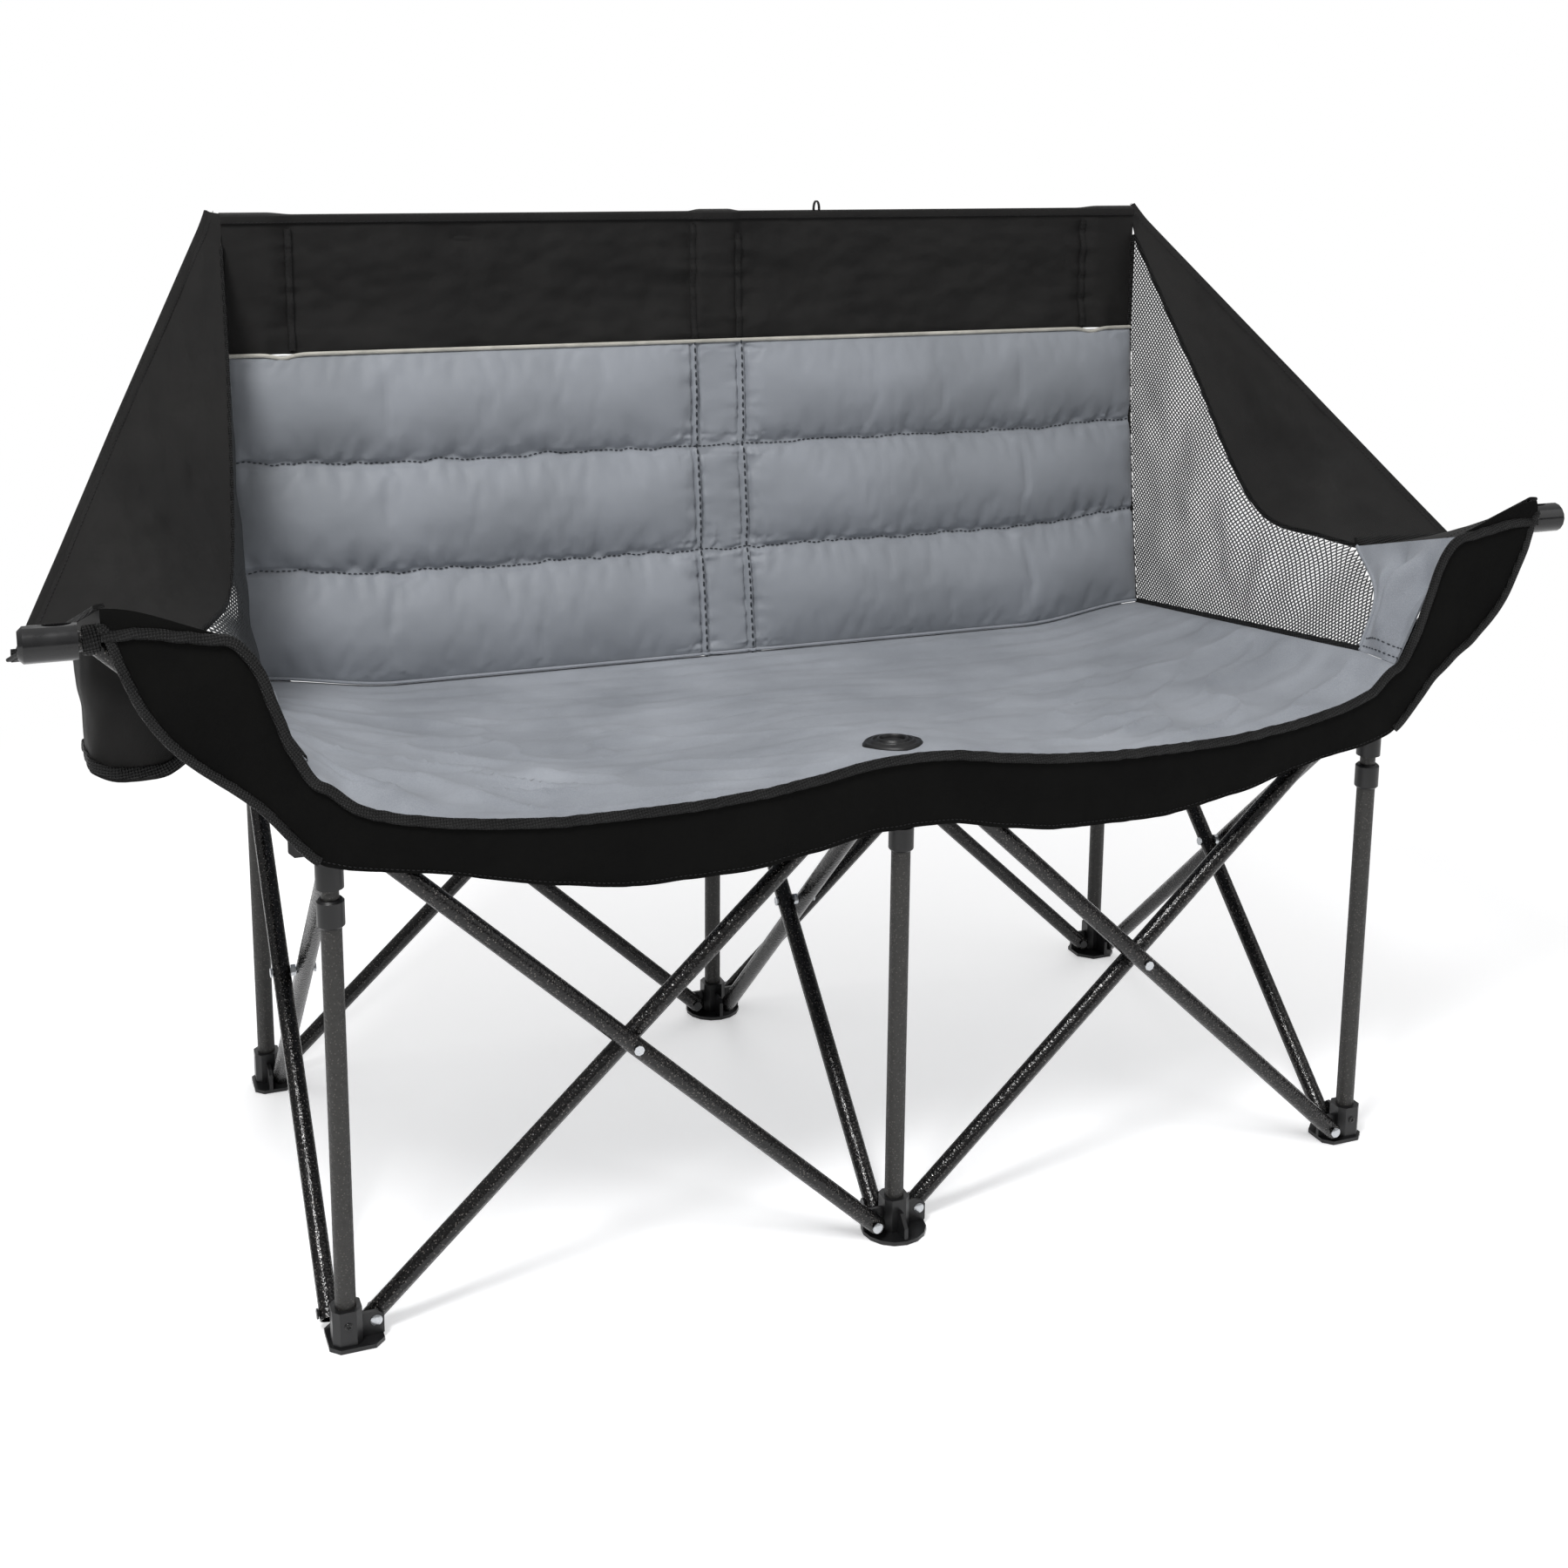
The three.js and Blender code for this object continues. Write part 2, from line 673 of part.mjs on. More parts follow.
const bothHalves = (shares) => [
  ...shares.slice(1).reverse().map((s) => (1 - s) / 2),
  ...shares.map((s) => (1 + s) / 2),
];
const padAcross = bothHalves(halfShares);
const channelShares = [0, 0.08, 0.5, 0.92];
const padAlong = [];
for (let i = 0; i < padChannels; i += 1) {
  padAlong.push(...channelShares.map((share) => (i + share) / padChannels));
}
padAlong.push(1);
function padFace(front) {
  return (u, v) => {
    const x = (2 * u - 1) * coverHalf;
    const z = padLowZ(x) + (padTopZ - padLowZ(x)) * v;
    return point(x, padBackY(z) - (front ? padDepth(x, v) : 0), z);
  };
}
place('back_pad', sheet(padAcross, padAlong, padFace(true), padFace(false)), greyCloth);

// Head band: folded over the pole tops, long in front and short behind
const bandIn = postRadius + seam;
const bandOut = bandIn + clothThick;
const bandShape = [
  [-bandOut, padTopZ + seam],
  [-bandIn, padTopZ + seam],
  [-bandIn, poleTopZ + seam],
  [bandIn, poleTopZ + seam],
  [bandIn, poleTopZ - bandBack],
  [bandOut, poleTopZ - bandBack],
  [bandOut, poleTopZ + seam + bandOver - clothThick],
  [bandIn, poleTopZ + seam + bandOver],
  [-bandIn, poleTopZ + seam + bandOver],
  [-bandOut, poleTopZ + seam + bandOver - clothThick],
];
const band = plate(bandShape, 2 * coverHalf).rotateZ(Math.PI / 2);
place('head_band', solid(band), blackCloth).position.set(0, rearY, 0);

// Corners of the side panels, on the sitter's left; the other side mirrors them
const side = {
  topOut: 12, topBack: 15, topUp: 5, // outer top corner, from the corner pole's top
  wingOut: 51, wingAhead: 178, wingDown: 60, // outer low corner, from the grip's neck
  meetOut: 95, meetAhead: 163, meetDown: 53, // where wing, net and arm panel meet
  kneeOut: 78, kneeDown: 6, // inner front corner of the arm
  neckIn: 17, neckUp: 28, // cover's end beside the grip
  netAhead: 40, // net's front low corner behind the posts
  netTopDown: 31, // net's top under the pole tops
};
const seamShares = [[0.14, 0.33, 0.44], [0.4, 0.7, 0.94], [0.72, 0.9, 0.98]];
const armEdgeShares = [0.49, 0.53];
const netFrontShares = [0.55, 0.3, 0.58];
const seamSteps = 9;
const restShares = [0, 0.25, 0.5, 0.75, 1];
const pastShares = [-0.1, ...restShares, 1.1]; // carried on past the armrest's edges, to trim the pocket
const sideStart = coverHalf + seam;
const panelFrontY = apronBackY + clothThick;

for (const [name, sign] of [['left', -1], ['right', 1]]) {
  const at = (x, y, z) => point(sign * x, y, z);
  const wingTop = at(sideStart + side.topOut, rearY + side.topBack, poleTopZ + side.topUp);
  const wingLow = at(gripX + side.wingOut, frontY + side.wingAhead, armZ - side.wingDown);
  const meet = at(bay + side.meetOut, frontY + side.meetAhead, armZ - side.meetDown);
  const netTop = at(sideStart, rearY - postRadius - clothThick, poleTopZ - side.netTopDown);
  const netLow = at(sideStart, seatRearY, seatZ(coverHalf, seatRearY));
  const netFrontY = frontY + side.netAhead;
  const netFront = at(sideStart, netFrontY, seatZ(coverHalf, netFrontY));
  const seamPoints = seamShares.map(([sx, sy, sz]) => point(
    netTop.x + (meet.x - netTop.x) * sx,
    netTop.y + (meet.y - netTop.y) * sy,
    netTop.z + (meet.z - netTop.z) * sz));
  const seamCurve = through([netTop, ...seamPoints, meet]);

  // Black wing between the curved seam and its straight outer edge
  const wingFace = (gap) => (u, v) => {
    const inner = seamCurve(v);
    const outer = wingTop.clone().lerp(wingLow, v);
    return inner.lerp(outer, gap + (1 - gap) * u);
  };
  const wingGap = 2 * seam / side.meetOut;
  const wingAt = wingFace(wingGap);
  place(`wing_${name}`, sheet(3, seamSteps, wingAt, offsetFace(wingAt, -sign * clothThick)), blackCloth);

  // Net below the seam, down to the seat's side and forward to the arm panel
  const padSide = (t) => {
    const z = netLow.z + (netTop.z - netLow.z) * t;
    return at(sideStart, Math.min(padBackY(z) - padEdge, netTop.y), z);
  };
  const seatSide = (t) => {
    const y = netLow.y + (netFront.y - netLow.y) * t;
    return at(sideStart, y, seatZ(coverHalf, y));
  };
  const [bulgeX, bulgeY, bulgeZ] = netFrontShares;
  const netMiddle = point(
    netFront.x + (meet.x - netFront.x) * bulgeX,
    netFront.y + (meet.y - netFront.y) * bulgeY,
    netFront.z + (meet.z - netFront.z) * bulgeZ);
  const netEdge = through([netFront, netMiddle, meet]);
  const netAll = coons(seatSide, seamCurve, padSide, netEdge);
  const netAt = (u, v) => netAll(u, v).add(point(0, netGap * u, -netGap * v));
  place(`net_${name}`, sheet(seamSteps, 5, netAt, offsetFace(netAt, -sign * clothThick / 2)), netCloth);

  // Grey corner of the arm, from the net up to the binding, and the black armrest over the tube
  const knee = at(bay + side.kneeOut, panelFrontY, armZ - side.kneeDown);
  const seatCorner = at(sideStart, panelFrontY, seatZ(coverHalf, panelFrontY));
  const [edgeX, edgeZ] = armEdgeShares;
  const edgeMiddle = point(
    seatCorner.x + (knee.x - seatCorner.x) * edgeX,
    panelFrontY,
    seatCorner.z + (knee.z - seatCorner.z) * edgeZ);
  const cornerLow = (t) => {
    const y = netFront.y + (seatCorner.y - netFront.y) * t;
    return at(sideStart, y, seatZ(coverHalf, y));
  };
  const cornerHigh = (t) => meet.clone().lerp(knee, t);
  const cornerAt = coons(cornerLow, cornerHigh, netEdge, through([seatCorner, edgeMiddle, knee]));
  let arm = sheet(6, 6, cornerAt, offsetFace(cornerAt, -sign * clothThick));
  const neck = at(gripX - side.neckIn, panelFrontY, armZ + side.neckUp);
  const tuck = clothThick / side.meetAhead;
  const restPitch = Math.atan2(neck.z - wingLow.z, wingLow.y - neck.y);
  const restAt = (u, v) => {
    const rear = meet.clone().lerp(wingLow, u * (1 + tuck) - tuck);
    const ahead = knee.clone().lerp(neck, u * (1 + tuck) - tuck);
    return rear.lerp(ahead, v + (1 - v) * tuck);
  };
  arm = arm.add(sheet(restShares, restShares, restAt, offsetFace(restAt, sign * clothThick)));
  if (name === 'left') {
    const inner = bay + pocketOut;
    const ahead = frontY + pocketIn;
    const middle = at(inner + pocketWide / 2, ahead + pocketDeep / 2, 0);
    const hole = bar(cupHole, topPivotZ, topPivotZ + armRise, tubeSides);
    arm = arm.subtract(solid(hole.translate(middle.x, middle.y, 0)));
    const floorZ = topPivotZ + pocketFloor;
    const bagHigh = neck.z - floorZ;
    const bag = new THREE.BoxGeometry(pocketWide, pocketDeep, bagHigh);
    bag.translate(middle.x, middle.y, floorZ + bagHigh / 2);
    const restDrop = clothThick / Math.cos(restPitch) + seam;
    const restMoved = (lift) => (u, v) => restAt(u, v).add(point(0, 0, lift));
    const overRest = sheet(pastShares, pastShares, restMoved(-restDrop), restMoved(armRise));
    const room = new THREE.BoxGeometry(
      pocketWide - 2 * pocketWall, pocketDeep - 2 * pocketWall, armRise);
    room.translate(middle.x, middle.y, floorZ + pocketWall + armRise / 2);
    place('cup_pocket', solid(bag).subtract(solid(room)).subtract(overRest), blackCloth);
  }
  place(`arm_panel_${name}`, arm, greyCloth);
}

// Front apron: one black panel across all three brackets and up both arms
const apronEnd = gripX - side.neckIn;
const apronTopShares = [
  [0, 0], [0.765, 0], [0.797, 0.2], [0.815, 0.42], [0.832, 0.64], [0.857, 0.79], [0.888, 0.85], [1, 1],
];
const hemShares = [
  [0, -0.3], [0.05, -0.32], [0.14, -0.62], [0.25, -0.85], [0.36, -0.87], [0.49, -0.55], [0.63, 0.05],
  [0.76, 0.52], [0.84, 2.05], [0.925, 3.4], [0.96, 4.3], [0.978, 5.1], [1, 6.1],
];
const apronShares = [
  0, 0.05, 0.1, 0.14, 0.2, 0.25, 0.32, 0.38, 0.44, 0.5, 0.56, 0.62, 0.68, 0.72, 0.75, 0.765, 0.78,
  0.797, 0.806, 0.815, 0.824, 0.832, 0.844, 0.857, 0.875, 0.888, 0.91, 0.94, 0.96, 0.978, 0.99, 1,
];
const apronTopZ = (x) => {
  const s = Math.abs(x) / apronEnd;
  const low = seatZ(x, seatFrontY);
  const high = armZ + side.neckUp;
  return low + (high - low) * tableAt(apronTopShares, s);
};
const apronHemZ = (x) => {
  const s = Math.abs(x) / apronEnd;
  return topPivotZ - apronFall + apronSag * tableAt(hemShares, s);
};
function apronFace(y) {
  return (u, v) => {
    const x = (2 * u - 1) * apronEnd;
    const low = Math.min(apronHemZ(x), apronTopZ(x) - clothThick);
    return point(x, y, low + (apronTopZ(x) - low) * v);
  };
}
const apron = sheet(bothHalves(apronShares), 2, apronFace(apronBackY - clothThick), apronFace(apronBackY));
place('front_apron', apron, blackCloth);

export default group;
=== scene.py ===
# Folding camping loveseat: finishes of the frame, and its sewn cover with pads, nets, seams and bindings
import math
import bpy
import numpy as np
from mathutils import Matrix, Vector, noise
from mathutils.bvhtree import BVHTree


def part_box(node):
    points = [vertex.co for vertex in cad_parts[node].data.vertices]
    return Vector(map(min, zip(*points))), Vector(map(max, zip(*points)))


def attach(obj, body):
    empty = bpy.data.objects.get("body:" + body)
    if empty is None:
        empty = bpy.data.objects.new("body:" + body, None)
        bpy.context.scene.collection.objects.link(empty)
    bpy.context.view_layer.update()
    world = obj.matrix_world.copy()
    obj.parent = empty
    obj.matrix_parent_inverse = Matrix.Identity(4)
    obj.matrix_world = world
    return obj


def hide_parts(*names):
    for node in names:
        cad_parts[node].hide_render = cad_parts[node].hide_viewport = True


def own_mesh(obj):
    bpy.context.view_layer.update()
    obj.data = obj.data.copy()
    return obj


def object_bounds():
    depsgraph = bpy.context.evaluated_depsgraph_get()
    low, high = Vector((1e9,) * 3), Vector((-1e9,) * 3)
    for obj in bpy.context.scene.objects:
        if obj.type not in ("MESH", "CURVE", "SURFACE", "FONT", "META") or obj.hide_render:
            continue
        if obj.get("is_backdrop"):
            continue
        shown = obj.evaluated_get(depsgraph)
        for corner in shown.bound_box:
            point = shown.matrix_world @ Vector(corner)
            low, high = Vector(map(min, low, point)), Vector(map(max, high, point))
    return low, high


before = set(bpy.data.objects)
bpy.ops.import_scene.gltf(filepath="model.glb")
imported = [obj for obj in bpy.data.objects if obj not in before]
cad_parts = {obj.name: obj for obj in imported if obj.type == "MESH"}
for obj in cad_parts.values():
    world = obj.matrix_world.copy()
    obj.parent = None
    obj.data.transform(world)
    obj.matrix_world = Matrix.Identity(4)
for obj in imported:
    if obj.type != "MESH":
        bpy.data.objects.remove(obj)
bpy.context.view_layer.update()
scene = bpy.context.scene
print("frame loaded")


# numbers

def smooth(t):
    t = np.clip(t, 0, 1)
    return t * t * (3 - 2 * t)


def tableAt(rows, at):  # smooth value from rows of (place, value), never past its rows
    at = np.asarray(at, float)
    xs, ys = (np.array(col, float) for col in zip(*rows))
    rate = np.diff(ys) / np.diff(xs)
    steep = np.zeros(len(xs))
    both = rate[:-1] * rate[1:] > 0
    steep[1:-1][both] = (2 * rate[:-1] * rate[1:])[both] / (rate[:-1] + rate[1:])[both]
    i = np.clip(np.searchsorted(xs, at, side="left") - 1, 0, len(xs) - 2)
    wide = xs[i + 1] - xs[i]
    t = np.clip((at - xs[i]) / wide, 0, 1)
    bend = wide * (steep[i] * t * (1 - t) ** 2 - steep[i + 1] * t * t * (1 - t))
    return ys[i] + (ys[i + 1] - ys[i]) * smooth(t) + bend


def lumps(points, size, seed, depth=3):  # soft noise, about -1 to 1, at each point
    flat = np.asarray(points, float).reshape(-1, 3) / size + seed
    values = [noise.fractal(Vector(p), 0.6, 2.0, depth) for p in flat]
    return np.array(values).reshape(np.asarray(points).shape[:-1])


def unit(vectors):
    return vectors / np.maximum(np.linalg.norm(vectors, axis=-1, keepdims=True), 1e-9)


def stacked(*parts):
    return np.stack(np.broadcast_arrays(*parts), axis=-1).astype(float)


def straight(a, b, count):
    return a[None] + (b - a)[None] * np.linspace(0, 1, count)[:, None]


def lengthsAlong(points):
    return np.concatenate([[0], np.cumsum(np.linalg.norm(np.diff(points, axis=0), axis=1))])


def resampled(points, count):
    points = np.asarray(points, float)
    run = lengthsAlong(points)
    at = np.linspace(0, run[-1], count)
    return stacked(*(np.interp(at, run, points[:, k]) for k in range(3)))


def throughPoints(points, count):  # centripetal curve through the points
    p = [np.asarray(q, float) for q in points]
    p = [2 * p[0] - p[1]] + p + [2 * p[-1] - p[-2]]
    out = []
    for share in np.linspace(0, len(points) - 1, count):
        i = min(int(share), len(points) - 2)
        w = share - i
        x0, x1, x2, x3 = p[i:i + 4]
        d0, d1, d2 = (np.linalg.norm(b - a) ** 0.5 for a, b in ((x0, x1), (x1, x2), (x2, x3)))
        t1 = ((x1 - x0) / d0 - (x2 - x0) / (d0 + d1) + (x2 - x1) / d1) * d1
        t2 = ((x2 - x1) / d1 - (x3 - x1) / (d1 + d2) + (x3 - x2) / d2) * d1
        out.append(x1 + t1 * w + (3 * (x2 - x1) - 2 * t1 - t2) * w ** 2 + (2 * (x1 - x2) + t1 + t2) * w ** 3)
    return np.array(out)


def patchBetween(low, high, first, last):  # surface inside four edges, low and high across
    v = np.linspace(0, 1, len(first))[:, None, None]
    u = np.linspace(0, 1, len(low))[None, :, None]
    face = low[None] * (1 - v) + high[None] * v + first[:, None] * (1 - u) + last[:, None] * u
    return face - (low[0] * (1 - u) + low[-1] * u) * (1 - v) - (high[0] * (1 - u) + high[-1] * u) * v


def finerAlong(grid, at, axis):  # smooth values between the rows or columns of a grid
    grid = np.moveaxis(grid, axis, 0)
    i = np.clip(at.astype(int), 0, len(grid) - 2)
    w = (at - i).reshape(-1, *([1] * (grid.ndim - 1)))
    p0, p1, p2, p3 = (grid[np.clip(i + k, 0, len(grid) - 1)] for k in (-1, 0, 1, 2))
    fine = p1 + 0.5 * w * (p2 - p0 + w * (2 * p0 - 5 * p1 + 4 * p2 - p3 + w * (3 * (p1 - p2) + p3 - p0)))
    return np.moveaxis(fine, 0, axis)


def bellied(rows, cols):  # 1 in the middle of a grid, 0 at its edges
    up, along = (np.sin(math.pi * np.linspace(0, 1, count)) for count in (rows, cols))
    return up[:, None] * along[None]


def surfaceNormals(grid):
    return unit(np.cross(np.gradient(grid, axis=1), np.gradient(grid, axis=0)))


def roundRing(count):
    turn = np.linspace(0, 2 * math.pi, count, endpoint=False)
    return np.cos(turn), np.sin(turn)


# meshes

def meshPiece(name, verts, faces, material, uvs=None, smoothAngle=40):
    mesh = bpy.data.meshes.new(name)
    mesh.from_pydata(np.asarray(verts, float).reshape(-1, 3).tolist(), [], faces)
    mesh.update()
    if uvs is not None:
        layer = mesh.uv_layers.new(name="cloth")
        corners = np.zeros(len(mesh.loops), np.int32)
        mesh.loops.foreach_get("vertex_index", corners)
        layer.data.foreach_set("uv", np.asarray(uvs, np.float32)[corners].ravel())
    mesh.shade_smooth()
    mesh.set_sharp_from_angle(angle=math.radians(smoothAngle))
    mesh.materials.append(material)
    piece = bpy.data.objects.new(name, mesh)
    scene.collection.objects.link(piece)
    return piece


def faceOutwards(piece):
    mesh = piece.data
    co = np.zeros(len(mesh.vertices) * 3)
    mesh.vertices.foreach_get("co", co)
    mesh.calc_loop_triangles()
    tris = np.zeros(len(mesh.loop_triangles) * 3, np.int32)
    mesh.loop_triangles.foreach_get("vertices", tris)
    a, b, c = (co.reshape(-1, 3)[tris.reshape(-1, 3)[:, k]] for k in range(3))
    if np.einsum("ij,ij->i", a, np.cross(b, c)).sum() < 0:
        mesh.flip_normals()
    return piece


def gridFaces(rows, cols, start=0, flip=False):
    j, i = np.mgrid[0:rows - 1, 0:cols - 1]
    k = (start + j * cols + i).ravel()
    quads = np.stack([k, k + 1, k + cols + 1, k + cols], axis=-1)
    return (quads[:, ::-1] if flip else quads).tolist()


def ringFaces(rings, sides, start=0):  # faces between closed rings of points
    return [(start + j * sides + i, start + j * sides + (i + 1) % sides,
             start + (j + 1) * sides + (i + 1) % sides, start + (j + 1) * sides + i)
            for j in range(rings - 1) for i in range(sides)]


def endFaces(rings, sides):  # flat ends of a stack of rings
    return [tuple(range(sides))[::-1], tuple((rings - 1) * sides + i for i in range(sides))]


def clothMap(grid):  # metres along each row and up each column, for the weave
    u = np.zeros(grid.shape[:2])
    v = np.zeros(grid.shape[:2])
    u[:, 1:] = np.cumsum(np.linalg.norm(np.diff(grid, axis=1), axis=-1), axis=1)
    v[1:, :] = np.cumsum(np.linalg.norm(np.diff(grid, axis=0), axis=-1), axis=0)
    return np.stack([u - u.mean(axis=1, keepdims=True), v], axis=-1).reshape(-1, 2)


def closedSheet(name, face, back, material, smoothAngle=50):  # two grids of points, joined round their edge
    rows, cols = face.shape[:2]
    half = rows * cols
    faces = gridFaces(rows, cols) + gridFaces(rows, cols, half, flip=True)
    rim = list(range(cols - 1)) + [j * cols + cols - 1 for j in range(rows - 1)]
    rim += [(rows - 1) * cols + i for i in range(cols - 1, 0, -1)]
    rim += [j * cols for j in range(rows - 1, 0, -1)]
    faces += [(after, k, half + k, half + after) for k, after in zip(rim, rim[1:] + rim[:1])]
    weave = clothMap(face)
    verts = np.concatenate([face.reshape(-1, 3), back.reshape(-1, 3)])
    return faceOutwards(meshPiece(name, verts, faces, material, np.concatenate([weave, weave]), smoothAngle))


def thickSheet(name, face, thick, material, towards=1, smoothAngle=50):
    return closedSheet(name, face, face + surfaceNormals(face) * thick * towards, material, smoothAngle)


def ribbon(name, points, facing, section, material, ends=True):  # section rows are (across, out)
    points = np.asarray(points, float)
    along = unit(np.gradient(points, axis=0))
    facing = np.broadcast_to(np.asarray(facing, float), points.shape)
    out = unit(facing - along * np.sum(along * facing, axis=1, keepdims=True))
    across = np.cross(along, out)
    section = np.asarray(section, float)
    n = len(section)
    verts = points[:, None] + across[:, None] * section[None, :, :1] + out[:, None] * section[None, :, 1:]
    around = lengthsAlong(section)
    uvs = np.stack(np.broadcast_arrays(lengthsAlong(points)[:, None], around[None]), axis=-1).reshape(-1, 2)
    faces = ringFaces(len(points), n)
    if ends:
        faces += endFaces(len(points), n)
    return faceOutwards(meshPiece(name, verts, faces, material, uvs))


def tapeSection(wide, thick, sides=12, power=0.6):  # flat tape with rounded edges
    c, s = roundRing(sides)
    sizes = ((wide / 2, c), (thick / 2, s))
    return np.stack([half * np.sign(f) * np.abs(f) ** power for half, f in sizes], axis=-1)


def keptMesh(name, source):  # what the modifiers make, kept as a plain mesh
    result = bpy.data.meshes.new_from_object(source.evaluated_get(bpy.context.evaluated_depsgraph_get()))
    bpy.data.objects.remove(source)
    result.name = name
    piece = bpy.data.objects.new(name, result)
    scene.collection.objects.link(piece)
    return piece


def ride(piece, body, plan=None):
    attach(piece, body)
    if plan:
        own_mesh(piece)


def trim(name, points, facing, size, material, body, plan=None, ends=True):
    ride(ribbon(name, points, facing, tapeSection(*size), material, ends), body, plan)


# finishes: the size of a pattern is a real one in millimetres, and 1000 / size is its scale

def linearColour(hexColour):
    parts = [int(hexColour[i:i + 2], 16) / 255 for i in (1, 3, 5)]
    return tuple(c / 12.92 if c <= 0.04045 else ((c + 0.055) / 1.055) ** 2.4 for c in parts) + (1.0,)


def addNode(tree, kind, inputs=None, **settings):
    made = tree.nodes.new(kind)
    for key, value in settings.items():
        setattr(made, key, value)
    for key, value in (inputs or {}).items():
        if isinstance(value, bpy.types.NodeSocket):
            tree.links.new(value, made.inputs[key])
        else:
            made.inputs[key].default_value = value
    return made


def newMaterial(name, inputs):
    made = bpy.data.materials.new(name)
    made.use_nodes = True
    shader = made.node_tree.nodes["Principled BSDF"]
    for key, value in inputs.items():
        shader.inputs[key].default_value = value
    return made, made.node_tree, shader


def finishMaterial(tree, shader, factor, look, normal):  # colour between dark and light, and the bumps
    colour = addNode(tree, "ShaderNodeMix", {
        0: factor, 6: linearColour(look["dark"]), 7: linearColour(look["light"])}, data_type="RGBA")
    tree.links.new(colour.outputs[2], shader.inputs["Base Color"])
    tree.links.new(normal.outputs["Normal"], shader.inputs["Normal"])


def weaveHeight(tree, threadMm, slant):  # plain weave on the cloth's own map, coarser than real to show
    uv = addNode(tree, "ShaderNodeUVMap", uv_map="cloth").outputs["UV"]
    turned = addNode(tree, "ShaderNodeMapping", {
        "Vector": uv, "Rotation": (0, 0, slant), "Scale": (2 * math.pi * 1000 / threadMm,) * 3})
    split = addNode(tree, "ShaderNodeSeparateXYZ", {"Vector": turned.outputs["Vector"]})
    warp = addNode(tree, "ShaderNodeMath", {0: split.outputs["X"]}, operation="SINE").outputs[0]
    weft = addNode(tree, "ShaderNodeMath", {0: split.outputs["Y"]}, operation="SINE").outputs[0]
    return addNode(tree, "ShaderNodeMath", {0: warp, 1: weft}, operation="MULTIPLY").outputs[0]


def wovenCloth(name, look):
    made, tree, shader = newMaterial(name, {
        "Roughness": look["roughness"], "Sheen Weight": look["sheen"], "Sheen Roughness": 0.45,
        "Specular IOR Level": look["specular"]})
    place = addNode(tree, "ShaderNodeTexCoord").outputs["Object"]
    cloud = addNode(tree, "ShaderNodeTexNoise", {
        "Vector": place, "Scale": 1000 / look["cloudMm"], "Detail": 4.0, "Roughness": 0.55})
    fleck = addNode(tree, "ShaderNodeTexNoise", {
        "Vector": place, "Scale": 1000 / look["fleckMm"], "Detail": 2.0, "Roughness": 0.7})
    mixed = addNode(tree, "ShaderNodeMath", {
        0: fleck.outputs["Fac"], 1: look["fleck"], 2: cloud.outputs["Fac"]}, operation="MULTIPLY_ADD")
    shade = addNode(tree, "ShaderNodeMapRange", {
        "Value": mixed.outputs[0], "From Min": 0.35 + look["fleck"] * 0.3,
        "From Max": 0.65 + look["fleck"] * 0.7})
    threads = weaveHeight(tree, look["threadMm"], look.get("slant", 0.0))
    # painted shade and painted light: the weave's height is mixed into the colour, darker in its hollows and
    # grooves and lighter on its raised threads and ribs
    shadedWeave = addNode(tree, "ShaderNodeMath", {0: threads, 1: look["ribs"], 2: shade.outputs["Result"]},
                     operation="MULTIPLY_ADD", use_clamp=True)
    creases = addNode(tree, "ShaderNodeTexNoise", {
        "Vector": place, "Scale": 1000 / look["creaseMm"], "Detail": 5.0, "Roughness": 0.5,
        "Distortion": 0.6})
    soft = addNode(tree, "ShaderNodeBump", {
        "Height": creases.outputs["Fac"], "Strength": look["crease"], "Distance": 0.02})
    woven = addNode(tree, "ShaderNodeBump", {
        "Height": threads, "Strength": look["weave"], "Distance": look["threadMm"] / 4000,
        "Normal": soft.outputs["Normal"]})
    finishMaterial(tree, shader, shadedWeave.outputs[0], look, woven)
    return made


# woven polyester taffeta of the back pad: smooth, with a faint sheen and hardly any grain
padCloth = wovenCloth("greyTaffeta", {
    "dark": "#85898f", "light": "#94989f", "roughness": 0.5, "sheen": 0.15, "specular": 0.4,
    "cloudMm": 166.7, "fleckMm": 1.111, "fleck": 0.12, "ribs": 0.0, "threadMm": 0.6, "weave": 0.2,
    "creaseMm": 83.33, "crease": 0.06})

# polyester of mixed light and dark yarns on the seat and arm corners: matt, with a fine heathered fleck
seatCloth = wovenCloth("greyHeatherCloth", {
    "dark": "#7f838a", "light": "#a1a5ac", "roughness": 0.66, "sheen": 0.15, "specular": 0.3,
    "cloudMm": 111.1, "fleckMm": 1.111, "fleck": 0.8, "ribs": 0.2, "threadMm": 0.8, "weave": 0.35,
    "creaseMm": 62.5, "crease": 0.10})

# coated oxford weave of the wings, armrests, pocket and head band: deep black with a dull bloom
blackCloth = wovenCloth("blackOxfordCloth", {
    "dark": "#131212", "light": "#1e1d1c", "roughness": 0.6, "sheen": 0.02, "specular": 0.25,
    "cloudMm": 83.33, "fleckMm": 1.25, "fleck": 0.6, "ribs": 0.3, "threadMm": 0.9, "weave": 0.6,
    "creaseMm": 55.56, "crease": 0.10})

# a darker, duller copy of the same cloth, on the apron
darkCloth = wovenCloth("blackApronCloth", {
    "dark": "#090909", "light": "#111110", "roughness": 0.8, "sheen": 0.0, "specular": 0.08,
    "cloudMm": 83.33, "fleckMm": 1.25, "fleck": 0.6, "ribs": 0.3, "threadMm": 0.9, "weave": 0.4,
    "creaseMm": 55.56, "crease": 0.08})
